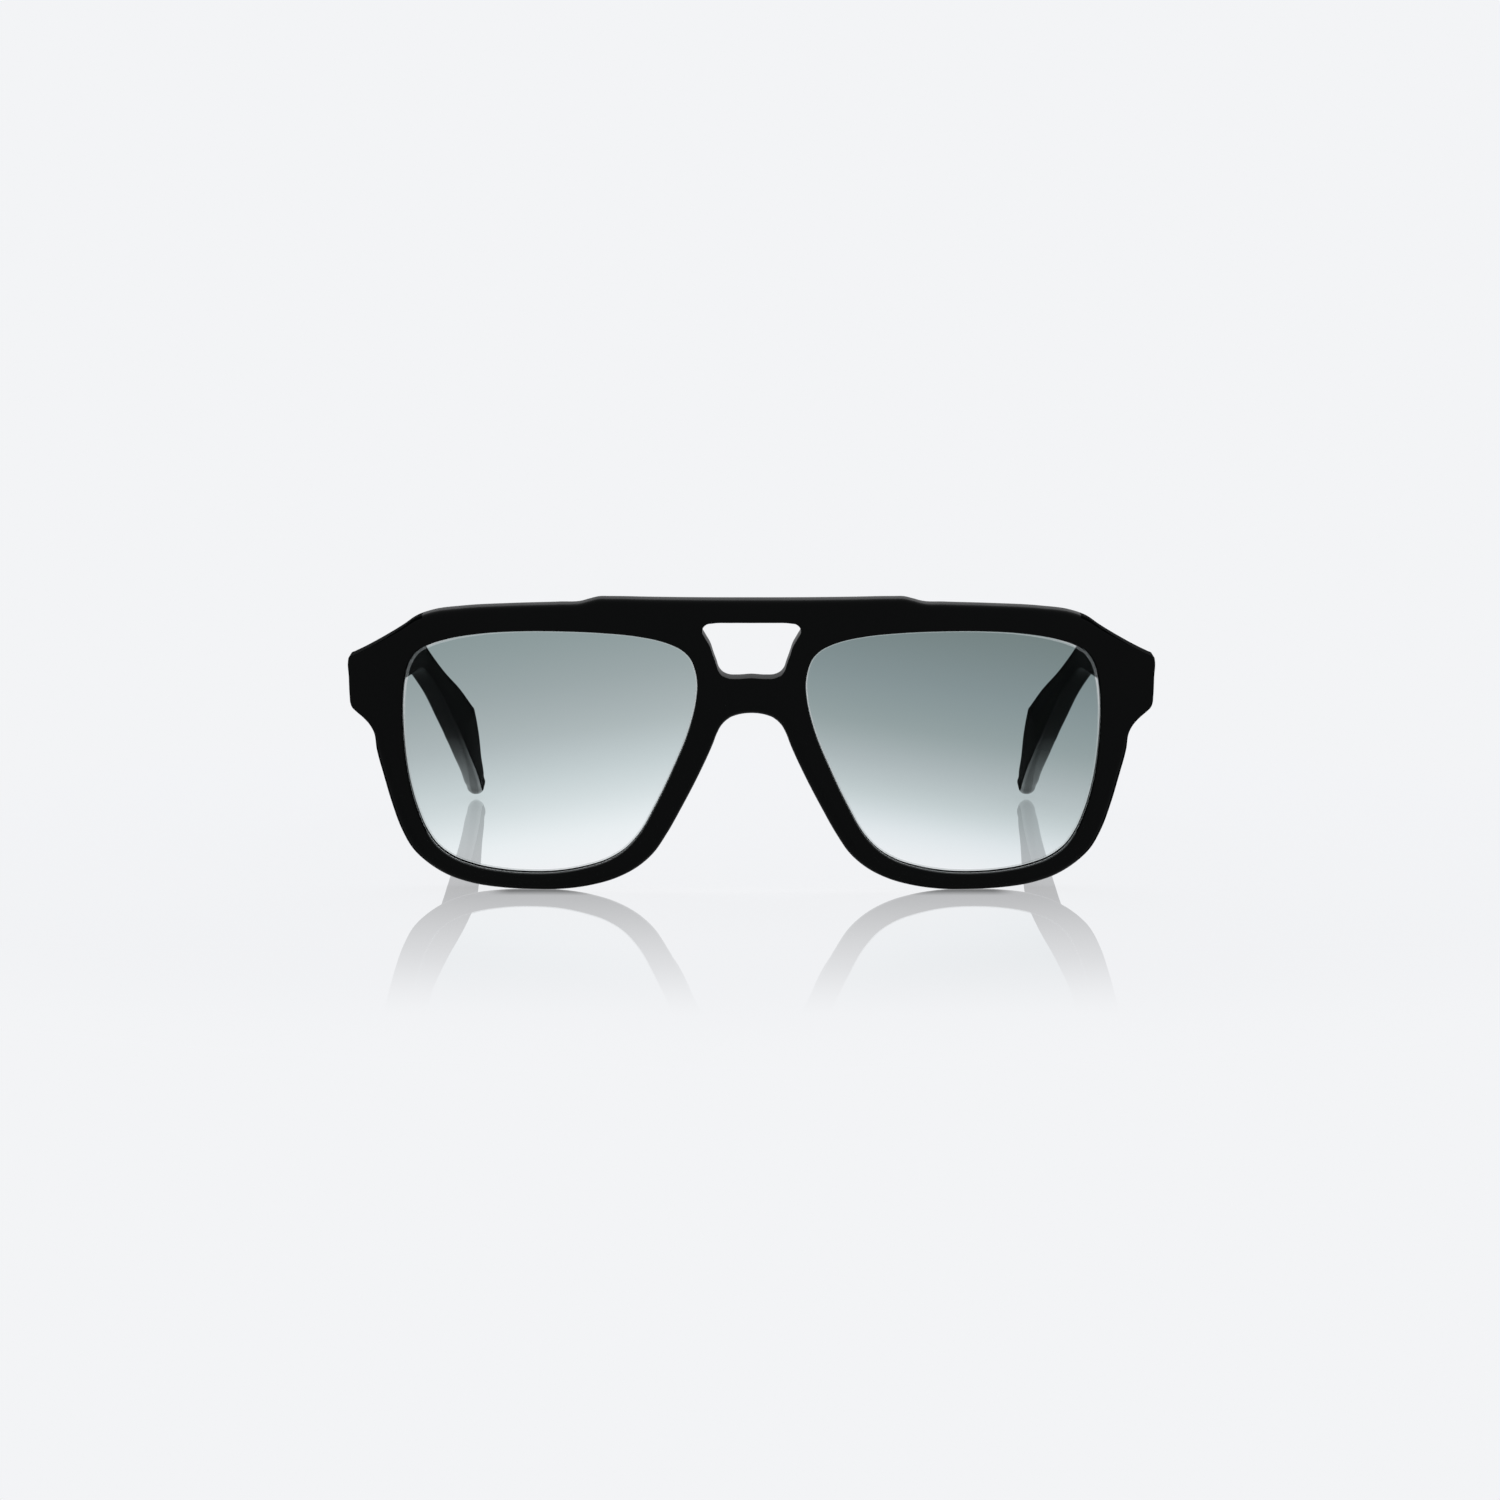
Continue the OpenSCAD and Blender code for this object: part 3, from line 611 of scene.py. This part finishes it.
# %% Break the edges of the metal pieces


def barrelled(node, name, width):
    bm = bmesh.new()
    bm.from_mesh(nodes[node].data)
    bmesh.ops.remove_doubles(bm, verts=bm.verts, dist=2e-6)
    bmesh.ops.dissolve_limit(bm, angle_limit=math.radians(1), verts=bm.verts, edges=bm.edges)
    thing = from_bmesh(name, bm)
    m = thing.modifiers.new("broken edges", "BEVEL")
    m.width, m.segments, m.limit_method = width * MM, 2, "ANGLE"
    m.angle_limit = math.radians(40)
    m.use_clamp_overlap = True
    settle(thing)
    smooth(thing, 45)
    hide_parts(node)
    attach(thing, nodes[node]["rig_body"])
    return thing


PLATE_BREAK, SCREW_BREAK = 0.08, 0.06
metal = [barrelled(part + "_hinge_" + side, "hinge_" + part + "_leaf_" + side, PLATE_BREAK)
         for side in ("left", "right") for part in ("front", "temple")]
pins = [barrelled("hinge_screw_" + side, "hinge_pivot_screw_" + side, SCREW_BREAK)
        for side in ("left", "right")]
print("hinge pieces", [len(o.data.polygons) for o in metal + pins])

# %% [markdown]
# ## Plate screws
# Eight small countersunk screws hold the plates. They are all alike, so one Geometry Nodes
# tree makes the screw once, from its head, shank and slot, and puts it on a set of points.
# Each point carries its own turn. The tree ends by making the copies real, one mesh per body.

# %% One function that adds a node


def add(tree, kind, links=(), **settings):
    """Adds a node. Links give an input a socket or a number. Settings name the node's
    properties or, with spaces as underscores, its inputs."""
    node = tree.nodes.new(kind)
    for key, value in settings.items():
        if hasattr(node, key):
            setattr(node, key, value)
        else:
            node.inputs[key.replace("_", " ")].default_value = value
    for socket, source in dict(links).items():
        if isinstance(source, (int, float)):
            node.inputs[socket].default_value = source
        else:
            tree.links.new(source, node.inputs[socket])
    return node


# %% The screw tree


def screw_tree():
    tree = bpy.data.node_groups.new("countersunk screws", "GeometryNodeTree")
    face = tree.interface
    face.new_socket("Geometry", in_out="INPUT", socket_type="NodeSocketGeometry")
    ids = {}
    for name in ("Head radius", "Shank radius", "Head height", "Length", "Slot width",
                 "Slot depth"):
        s = face.new_socket(name, in_out="INPUT", socket_type="NodeSocketFloat")
        ids[name] = s.identifier
    s = face.new_socket("Metal", in_out="INPUT", socket_type="NodeSocketMaterial")
    ids["Metal"] = s.identifier
    face.new_socket("Geometry", in_out="OUTPUT", socket_type="NodeSocketGeometry")
    given = add(tree, "NodeGroupInput").outputs

    def lifted(part, height):
        shift = add(tree, "ShaderNodeCombineXYZ", {"Z": height})
        return add(tree, "GeometryNodeTransform",
                   {"Geometry": part, "Translation": shift.outputs[0]}).outputs[0]

    def of_two(a, b, op="ADD"):
        return add(tree, "ShaderNodeMath", {0: a, 1: b}, operation=op).outputs[0]

    head = add(tree, "GeometryNodeMeshCone", {"Radius Top": given["Head radius"],
               "Radius Bottom": given["Shank radius"], "Depth": given["Head height"]},
               Vertices=40)
    head_low = of_two(given["Head height"], -1.0, "MULTIPLY")
    shank = add(tree, "GeometryNodeMeshCylinder", {"Radius": given["Shank radius"],
                "Depth": given["Length"]}, Vertices=40)
    shank_mid = of_two(given["Length"], -0.5, "MULTIPLY")
    slot_size = add(tree, "ShaderNodeCombineXYZ", {
        "X": of_two(given["Head radius"], 3.0, "MULTIPLY"), "Y": given["Slot width"],
        "Z": of_two(given["Slot depth"], 2.0, "MULTIPLY")})
    slot = add(tree, "GeometryNodeMeshCube", {"Size": slot_size.outputs[0]})
    body = add(tree, "GeometryNodeMeshBoolean", {
        "Mesh 1": lifted(head.outputs["Mesh"], head_low), "Mesh 2": slot.outputs["Mesh"]},
        operation="DIFFERENCE", solver="EXACT")
    both = add(tree, "GeometryNodeJoinGeometry")
    tree.links.new(body.outputs["Mesh"], both.inputs[0])
    tree.links.new(lifted(shank.outputs["Mesh"], of_two(shank_mid, head_low)), both.inputs[0])
    turn = add(tree, "GeometryNodeInputNamedAttribute", data_type="FLOAT_VECTOR", Name="turn")
    spread = add(tree, "GeometryNodeInstanceOnPoints", {
        "Points": given["Geometry"], "Instance": both.outputs[0], "Rotation": turn.outputs[0]})
    real = add(tree, "GeometryNodeRealizeInstances", {"Geometry": spread.outputs[0]})
    paint = add(tree, "GeometryNodeSetMaterial", {"Geometry": real.outputs[0],
                "Material": given["Metal"]})
    add(tree, "NodeGroupOutput", {"Geometry": paint.outputs[0]})
    return tree, ids


plate_screws, screw_ids = screw_tree()
print("screw tree", len(plate_screws.nodes), "nodes")

# %% [markdown]
# ## Finishes
# All the finishes are small node trees. Their colours are written as sRGB hex values, as on a
# colour card, and one function turns them to the linear values that shaders use. Patterns read
# Object coordinates, which are metres here, so a scale is one over the size of a grain.

# %% Colours and a shared start for materials


def rgb(code):
    parts = [int(code[i:i + 2], 16) / 255 for i in (1, 3, 5)]
    return tuple(c / 12.92 if c <= 0.04045 else ((c + 0.055) / 1.055) ** 2.4 for c in parts) + (1,)


def material(name):
    m = bpy.data.materials.new(name)
    m.use_nodes = True
    m.node_tree.nodes.clear()
    return m, m.node_tree


def ramp(t, fac, stops, interpolation="LINEAR"):
    """The colour of a ramp through stops of (position, colour)."""
    node = add(t, "ShaderNodeValToRGB", {"Fac": fac})
    node.color_ramp.interpolation = interpolation
    e = node.color_ramp.elements
    for i, (at, colour) in enumerate(stops):
        stop = e[i] if i < 2 else e.new(at)
        stop.position = at
        stop.color = colour
    return node.outputs[0]


def put(thing, *materials):
    thing.data.materials.clear()
    for m in materials:
        thing.data.materials.append(m)


# %% [markdown]
# ## Tumbled black acetate
# Cellulose acetate is tumbled to a silky matte here, not polished, so it has a wide soft
# highlight. The last tumbling leaves hair-fine scuffs a few hundredths of a millimetre apart.
# They are drawn at about 0.25 mm, as finer ones wouldn't show, and only move the roughness.
# The sides of the end pieces and the inner sides of the temples get a copy with almost no
# gloss: painted shade that keeps them black. The narrow edges of the temples get a coat that
# grows towards the tip, with an IOR well above that of acetate: a painted sheen, as of light
# from below, over their real gloss. So one material has a plain copy, a painted shade copy
# and a painted sheen copy.

# %% Acetate
SCUFF, CLOUD, FILED_X = 0.25 * MM, 12 * MM, 58.5


def tumbled_acetate(name, rough_low, rough_high, gloss, with_painted_sheen=False):
    m, t = material("cellulose acetate, black, " + name)
    place = add(t, "ShaderNodeTexCoord").outputs["Object"]
    scuff = add(t, "ShaderNodeTexNoise", {"Vector": place}, Scale=1 / SCUFF, Detail=3.0,
                Roughness=0.6)
    cloud = add(t, "ShaderNodeTexNoise", {"Vector": place}, Scale=1 / CLOUD, Detail=2.0)
    both = add(t, "ShaderNodeMath", {0: scuff.outputs["Fac"], 1: cloud.outputs["Fac"]},
               operation="ADD")
    rough = add(t, "ShaderNodeMapRange", {"Value": both.outputs[0]}, From_Min=0.6, From_Max=1.4,
                To_Min=rough_low, To_Max=rough_high)
    tone = ramp(t, cloud.outputs["Fac"], [(0, rgb("#020303")), (1, rgb("#050606"))])
    bump = add(t, "ShaderNodeBump", {"Height": scuff.outputs["Fac"]}, Strength=0.04,
               Distance=0.00002)
    skin_shader = add(t, "ShaderNodeBsdfPrincipled", {
        "Base Color": tone, "Roughness": rough.outputs[0], "Normal": bump.outputs[0]},
        IOR=1.48, Specular_IOR_Level=gloss)
    # Painted sheen: a coat with an IOR far above acetate's, full near the table and gone 19 mm up,
    # brightens the temple edges towards the tip as if lit from below.
    if with_painted_sheen:
        height = add(t, "ShaderNodeSeparateXYZ", {"Vector": place}).outputs["Z"]
        painted_sheen_weight = add(t, "ShaderNodeMapRange", {"Value": height}, interpolation_type="SMOOTHSTEP",
                     From_Min=0.002, From_Max=0.019, To_Min=1.0, To_Max=0.0)
        t.links.new(painted_sheen_weight.outputs[0], skin_shader.inputs["Coat Weight"])
        skin_shader.inputs["Coat Roughness"].default_value = 0.12
        skin_shader.inputs["Coat IOR"].default_value = 2.5
    add(t, "ShaderNodeOutputMaterial", {"Surface": skin_shader.outputs[0]})
    return m


tumbled = tumbled_acetate("tumbled", 0.35, 0.45, 0.06)
# The second copy has almost no gloss, as painted shade on sides that stay black; the third adds a
# painted sheen towards the temple tips.
dull_painted_shade = tumbled_acetate("dull_painted_shade", 0.5, 0.6, 0.002)
painted_tip_sheen = tumbled_acetate("painted_tip_sheen", 0.35, 0.45, 0.06, True)
for thing in pads.values():
    put(thing, tumbled)


def of_faces(thing, what):
    values = np.zeros(len(thing.data.polygons) * 3)
    thing.data.polygons.foreach_get(what, values)
    return values.reshape(-1, 3)


def finish_front():
    """The sides of the end pieces, which look neither forward nor back, get the low-gloss copy, as
    painted shade.
    """
    put(front, tumbled, dull_painted_shade)
    sides = np.abs(of_faces(front, "normal")[:, 1]) < 0.75
    index = (sides & (np.abs(of_faces(front, "center")[:, 0]) > FILED_X * MM)).astype(int)
    front.data.polygons.foreach_set("material_index", index)
    return int(index.sum())


def finish_temple(thing, inward):
    """Gives a temple its plain, painted shade and painted sheen copies, by the way each face looks.
    """
    put(thing, tumbled, dull_painted_shade, painted_tip_sheen)
    to_head = of_faces(thing, "normal")[:, 0] * inward
    index = np.where(np.abs(to_head) < 0.8, 2, np.where(to_head > 0, 1, 0))
    thing.data.polygons.foreach_set("material_index", index)
    return np.bincount(index, minlength=3).tolist()


print("dull faces of the front", finish_front())
print("tumbled, dull and buffed faces",
      [finish_temple(temples[s], 1 if s == "left" else -1) for s in ("left", "right")])

# %% [markdown]
# ## Photochromic lens
# The dye is a gradient: grey with a trace of green at the brow, nearly clear at the cheek. The
# tint is weaker towards the nose, and the left lens is lighter than the right. A thin tinted
# lens doesn't bend what is behind it, so a Transparent shader carries the tint, and a little
# gloss by Fresnel lies over it, weak because the lens is coated against glare.
# Light passes two walls, so each has the root of the tint. The ground bevel is a second
# material, frosted and pale.

# %% Lens materials
DYE_TILT, DYE_MID, DYE_TOP = 0.17, 37, 50
GRIT = 0.2 * MM


def lens_dye(name, stops):
    """stops: (height in mm, the share of red, green and blue light that the lens lets through)"""
    m, t = material(name)
    place = add(t, "ShaderNodeTexCoord").outputs["Object"]
    apart = add(t, "ShaderNodeSeparateXYZ", {"Vector": place})
    across = add(t, "ShaderNodeMath", {0: apart.outputs["X"]}, operation="ABSOLUTE")
    lean = add(t, "ShaderNodeMath", {0: across.outputs[0], 1: DYE_TILT,
                                     2: -DYE_TILT * DYE_MID * MM}, operation="MULTIPLY_ADD")
    level = add(t, "ShaderNodeMath", {0: apart.outputs["Z"], 1: lean.outputs[0]}, operation="ADD")
    height = add(t, "ShaderNodeMapRange", {"Value": level.outputs[0]}, From_Min=0.0,
                 From_Max=DYE_TOP * MM, To_Min=0.0, To_Max=1.0)
    colours = [(z / DYE_TOP, tuple(math.sqrt(s) for s in share) + (1,)) for z, share in stops]
    tint = add(t, "ShaderNodeBsdfTransparent",
               {"Color": ramp(t, height.outputs[0], colours, "B_SPLINE")})
    gloss = add(t, "ShaderNodeBsdfGlossy", Color=(1, 1, 1, 1), Roughness=0.02)
    fresnel = add(t, "ShaderNodeFresnel", IOR=1.1)
    mix = add(t, "ShaderNodeMixShader", {0: fresnel.outputs[0], 1: tint.outputs[0],
                                         2: gloss.outputs[0]})
    add(t, "ShaderNodeOutputMaterial", {"Surface": mix.outputs[0]})
    return m


def ground_bevel():
    m, t = material("ground lens bevel, frosted")
    place = add(t, "ShaderNodeTexCoord").outputs["Object"]
    grit = add(t, "ShaderNodeTexNoise", {"Vector": place}, Scale=1 / GRIT, Detail=2.0)
    tone = ramp(t, grit.outputs["Fac"], [(0, rgb("#bcc3c2")), (1, rgb("#dde2e1"))])
    frosted = add(t, "ShaderNodeBsdfPrincipled", {"Base Color": tone}, Roughness=0.6, IOR=1.5)
    clear = add(t, "ShaderNodeBsdfTransparent", Color=(0.93, 0.95, 0.95, 1))
    both = add(t, "ShaderNodeMixShader", {0: 0.7, 1: frosted.outputs[0], 2: clear.outputs[0]})
    add(t, "ShaderNodeOutputMaterial", {"Surface": both.outputs[0]})
    return m


RIGHT_DYE = [(2, (0.985, 0.99, 0.99)), (9, (0.856, 0.911, 0.926)), (15, (0.589, 0.664, 0.661)),
             (21, (0.476, 0.535, 0.539)), (28, (0.314, 0.383, 0.377)),
             (37, (0.259, 0.322, 0.333)), (49, (0.182, 0.232, 0.225))]
LEFT_DYE = [(2, (0.99, 0.99, 0.99)), (9, (0.945, 0.99, 0.99)), (15, (0.744, 0.81, 0.81)),
            (21, (0.618, 0.69, 0.691)), (28, (0.462, 0.523, 0.524)), (37, (0.368, 0.429, 0.43)),
            (49, (0.266, 0.333, 0.331))]
bevel = ground_bevel()
for side, stops in (("left", LEFT_DYE), ("right", RIGHT_DYE)):
    thing = lenses[side]
    put(thing, lens_dye("photochromic lens, " + side, stops), bevel)
print("lens stops", len(RIGHT_DYE))

# %% [markdown]
# The frosted bands are the rings between the polished faces and the groove, one in front and
# one behind. Each is found by its place: halfway between the two rows of points beside it.

# %% Give the bevel its own material


def mark_bevel(thing, left):
    a, b, c = lens_rows()
    centres = of_faces(thing, "center")
    index = np.zeros(len(centres), int)
    for pair in ((a[-1], b[0]), (b[-1], c[0])):
        ring, rim = [on_front(flipped(p) if left else p, d) for p, d in pair]
        middle = (ring + rim) / 2
        for p in (middle + np.roll(middle, -1, 0)) / 2:
            index[np.argmin(np.sum((centres - p) ** 2, 1))] = 1
    thing.data.polygons.foreach_set("material_index", index)
    return int(index.sum())


print("bevel faces", [mark_bevel(lenses[s], s == "left") for s in ("left", "right")])

# %% [markdown]
# ## Nickel silver and steel
# Nickel silver is a warm grey metal, drawn and barrelled, so it is a soft satin. The screws
# are turned stainless steel, a little bluer and brighter. Both keep the default IOR, and a
# fine noise stands for the drawing lines and the barrelling.

# %% Metals


def satin_metal(name, low, high, grain, rough_low, rough_high):
    m, t = material(name)
    place = add(t, "ShaderNodeTexCoord").outputs["Object"]
    lines = add(t, "ShaderNodeMapping", {"Vector": place}, Scale=(1, 6, 1))
    noise = add(t, "ShaderNodeTexNoise", {"Vector": lines.outputs[0]}, Scale=1 / grain,
                Detail=3.0)
    tone = ramp(t, noise.outputs["Fac"], [(0, rgb(low)), (1, rgb(high))])
    rough = add(t, "ShaderNodeMapRange", {"Value": noise.outputs["Fac"]}, To_Min=rough_low,
                To_Max=rough_high)
    bump = add(t, "ShaderNodeBump", {"Height": noise.outputs["Fac"]}, Strength=0.2,
               Distance=0.00001)
    shader = add(t, "ShaderNodeBsdfPrincipled", {
        "Base Color": tone, "Roughness": rough.outputs[0], "Normal": bump.outputs[0]},
        Metallic=1.0)
    add(t, "ShaderNodeOutputMaterial", {"Surface": shader.outputs[0]})
    return m


nickel_silver = satin_metal("nickel silver, barrelled", "#a9a59c", "#c9c5bb", 0.0004, 0.25, 0.4)
steel = satin_metal("stainless steel, turned", "#9fa2a5", "#c6c9cc", 0.0003, 0.2, 0.32)
for thing in metal:
    put(thing, nickel_silver)
for thing in pins:
    put(thing, steel)
for side in ("left", "right"):
    put(nodes["core_wire_" + side], nickel_silver)
print("metal pieces", len(metal) + len(pins))

# %% Put the plate screws in their plates
HEAD_H = 0.5
FRONT_SCREW_X, FRONT_SCREW_Z, FRONT_SCREW_L = 3.5, 1.7, 3.2
TEMPLE_SCREW_Y, TEMPLE_SCREW_L = (3.2, 6.6), 2.6


def screw_points(name, places, length):
    mesh = bpy.data.meshes.new(name)
    mesh.from_pydata([m.translation for m in places], [], [])
    turns = mesh.attributes.new("turn", "FLOAT_VECTOR", "POINT")
    for i, m in enumerate(places):
        turns.data[i].vector = m.to_euler()
    thing = placed(name, mesh)
    mod = thing.modifiers.new("screws", "NODES")
    mod.node_group = plate_screws
    sizes = {"Head radius": 1.0, "Shank radius": 0.5, "Head height": HEAD_H,
             "Length": length - HEAD_H, "Slot width": 0.24, "Slot depth": 0.25}
    for key, value in sizes.items():
        mod[screw_ids[key]] = value * MM
    mod[screw_ids["Metal"]] = steel
    settle(thing)
    smooth(thing, 30)
    return thing


def upright(m, left):
    """The place of a screw at a hinge without the mirror, in metres, its head along +Z."""
    place = Matrix.Translation(m.translation * MM)
    z = m.to_3x3() @ Vector((0, 0, 1))
    return place @ z.to_track_quat("Z", "Y").to_matrix().to_4x4()


front_places = []
for left in (False, True):
    for s in (-1, 1):
        m = (place_at_hinge(left) @ Matrix.Rotation(hinge_wrap, 4, "Z")
             @ Matrix.Translation((FRONT_SCREW_X, -hinge_off, s * FRONT_SCREW_Z))
             @ Matrix.Rotation(-math.pi / 2, 4, "X"))
        front_places.append(upright(m, left) @ Matrix.Rotation(math.radians(35 + 20 * s), 4, "Z"))
screws = screw_points("plate_screws_front", front_places, FRONT_SCREW_L)
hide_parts("front_hinge_screws_left", "front_hinge_screws_right")
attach(screws, "front")
for side in ("left", "right"):
    left = side == "left"
    places = []
    for y in TEMPLE_SCREW_Y:
        m = (place_at_hinge(left) @ Matrix.Translation((leaf_x, y, 0))
             @ Matrix.Rotation(-math.pi / 2, 4, "Y"))
        places.append(upright(m, left) @ Matrix.Rotation(math.radians(20 * y), 4, "Z"))
    thing = screw_points("plate_screws_temple_" + side, places, TEMPLE_SCREW_L)
    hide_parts("temple_hinge_screws_" + side)
    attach(thing, "temple_" + side)
print("plate screws", len(screws.data.polygons), "faces on the front")

# %% [markdown]
# ## Table and backdrop
# The glasses stand on a polished white table that runs into a white backdrop, so no horizon
# shows. The table mirrors them sharply, and the mirror image fades towards the viewer. In a
# narrow band right under the lower rims the mirror is made stronger, so the rims' black
# reflection darkens the table there: partly real reflection, partly a painted contact shadow.
# Table and backdrop are plain white, and the table also takes a trace of real shadow.

# %% Table
PALE = "#f3f4f6"
MIRROR_FROM, MIRROR_TO = -182, -52
# The first pair is how far from the middle, in metres, the painted contact shadow under the rims
# reaches.
CONTACT_SHADE_X, NEAR, TABLE_GAP = (0.043, 0.048), (0.14, 0.22), 0.00005


def seen(t):
    """1 for what the camera sees, also by a reflection or through glass, and 0 for plain light."""
    path = add(t, "ShaderNodeLightPath").outputs
    some = add(t, "ShaderNodeMath", {0: path["Is Camera Ray"], 1: path["Is Glossy Ray"]},
               operation="MAXIMUM")
    return add(t, "ShaderNodeMath", {0: some.outputs[0], 1: path["Is Transmission Ray"]},
               operation="MAXIMUM").outputs[0]


def table_top():
    m, t = material("polished white table")
    place = add(t, "ShaderNodeTexCoord").outputs["Object"]
    apart = add(t, "ShaderNodeSeparateXYZ", {"Vector": place})
    along = add(t, "ShaderNodeMapRange", {"Value": apart.outputs["Y"]},
                From_Min=MIRROR_FROM * MM, From_Max=MIRROR_TO * MM)

    def share_along(*stops):
        span = MIRROR_TO - MIRROR_FROM
        return ramp(t, along.outputs[0], [((y - MIRROR_FROM) / span, (s, s, s, 1))
                                          for y, s in stops])

    fades = share_along((MIRROR_FROM, 0), (-70, 0.42))
    # A stronger mirror in a band right under the lower rims, where the rims' black reflection lays
    # a painted contact shadow.
    contact_shade = share_along((-70, 0), (-64.5, 0.38), (-58, 0))
    across = add(t, "ShaderNodeMath", {0: apart.outputs["X"]}, operation="ABSOLUTE")
    contact_shade_span = add(t, "ShaderNodeMapRange", {"Value": across.outputs[0]},
                    interpolation_type="SMOOTHSTEP", From_Min=CONTACT_SHADE_X[0],
                    From_Max=CONTACT_SHADE_X[1], To_Min=1.0, To_Max=0.0)
    share = add(t, "ShaderNodeMath", {0: contact_shade, 1: contact_shade_span.outputs[0], 2: fades},
                operation="MULTIPLY_ADD")
    flat = add(t, "ShaderNodeVectorMath", {0: place}, operation="LENGTH")
    near = add(t, "ShaderNodeMapRange", {"Value": flat.outputs["Value"]},
               interpolation_type="SMOOTHSTEP", From_Min=NEAR[0], From_Max=NEAR[1], To_Min=1.0,
               To_Max=0.0)
    mirror = add(t, "ShaderNodeMath", {0: share.outputs[0], 1: near.outputs[0]},
                 operation="MULTIPLY")
    shade = add(t, "ShaderNodeMath", {0: near.outputs[0], 1: -0.1, 2: 1.0},
                operation="MULTIPLY_ADD")
    white = add(t, "ShaderNodeMath", {0: shade.outputs[0], 1: seen(t)}, operation="MULTIPLY")
    glow = add(t, "ShaderNodeEmission", Color=rgb(PALE), Strength=1.0)
    plain = add(t, "ShaderNodeBsdfDiffuse", Color=(0.88, 0.88, 0.89, 1))
    body = add(t, "ShaderNodeMixShader", {0: white.outputs[0], 1: plain.outputs[0],
                                          2: glow.outputs[0]})
    gloss = add(t, "ShaderNodeBsdfGlossy", Color=(1, 1, 1, 1), Roughness=0.0)
    both = add(t, "ShaderNodeMixShader", {0: mirror.outputs[0], 1: body.outputs[0],
                                          2: gloss.outputs[0]})
    add(t, "ShaderNodeOutputMaterial", {"Surface": both.outputs[0]})
    return m


def table():
    bm = bmesh.new()
    bmesh.ops.create_grid(bm, x_segments=1, y_segments=1, size=40)
    thing = from_bmesh("table_top", bm)
    thing.location.z = cad_box[0].z - TABLE_GAP
    put(thing, table_top())
    return thing


floor = table()
print("table at", round(floor.location.z * 1000, 3), "mm")

# %% [markdown]
# ## Light
# A soft box hangs above and a little behind the glasses and a cooler panel stands behind
# them, as for any small product shot, and the white room does the rest. The world shows the
# backdrop's white to the camera and in reflections, and its plain light has a strength of
# 0.55. The lamps themselves aren't reflected, so no bright square lies on the table when it is
# seen from another side.

# %% World, lamps and camera


def white_room():
    world = bpy.data.worlds.new("white room")
    bpy.context.scene.world = world
    world.use_nodes = True
    t = world.node_tree
    t.nodes.clear()
    level = add(t, "ShaderNodeMapRange", {"Value": seen(t)}, To_Min=0.55, To_Max=1.0)
    back = add(t, "ShaderNodeBackground", {"Strength": level.outputs[0]}, Color=rgb(PALE))
    add(t, "ShaderNodeOutputWorld", {"Surface": back.outputs[0]})


def soft_box(name, place, target, size, power, colour=(1, 1, 1)):
    lamp = bpy.data.lights.new(name, "AREA")
    lamp.color = colour
    lamp.shape, lamp.size, lamp.size_y = "RECTANGLE", size[0], size[1]
    lamp.energy = power
    thing = placed(name, lamp)
    thing.location = place
    aim = Vector(target) - Vector(place)
    thing.rotation_euler = aim.to_track_quat("-Z", "Y").to_euler()
    thing.visible_camera = thing.visible_glossy = False


white_room()
soft_box("soft box above", (0, 0.12, 0.55), (0, -0.03, 0.02), (0.6, 0.35), 1.2,
         (0.9, 0.93, 1.0))
soft_box("cool panel behind", (0, 0.3, 0.3), (0, -0.04, 0.04), (0.8, 0.34), 0.9,
         (0.78, 0.81, 1.0))

FOCAL_PX, PICTURE_PX, SENSOR = 3370, 1500, 36
CAM_SIDE, CAM_AWAY, CAM_UP, CAM_TILT = -0.000267, 0.6, 0.0936, 6.4915
cam = bpy.data.cameras.new("camera")
cam.sensor_width = SENSOR
cam.lens = FOCAL_PX / PICTURE_PX * SENSOR
cam.clip_start, cam.clip_end = 0.01, 100
cam_object = placed("camera", cam)
cam_object.location = (CAM_SIDE, -CAM_AWAY - mid_y * MM, CAM_UP)
cam_object.rotation_euler = (math.radians(90 - CAM_TILT), 0, 0)
bpy.context.scene.camera = cam_object
bpy.context.scene.view_settings.view_transform = "Standard"
print("camera", [round(v, 4) for v in cam_object.location], "lens", round(cam.lens, 2))

# %% [markdown]
# ## Size of the imported model
# The box of the imported model, taken before any piece was made, is printed in millimetres.

# %% Sizes and finish
print("cad", [round(v * 1000, 2) for c in cad_box for v in c])
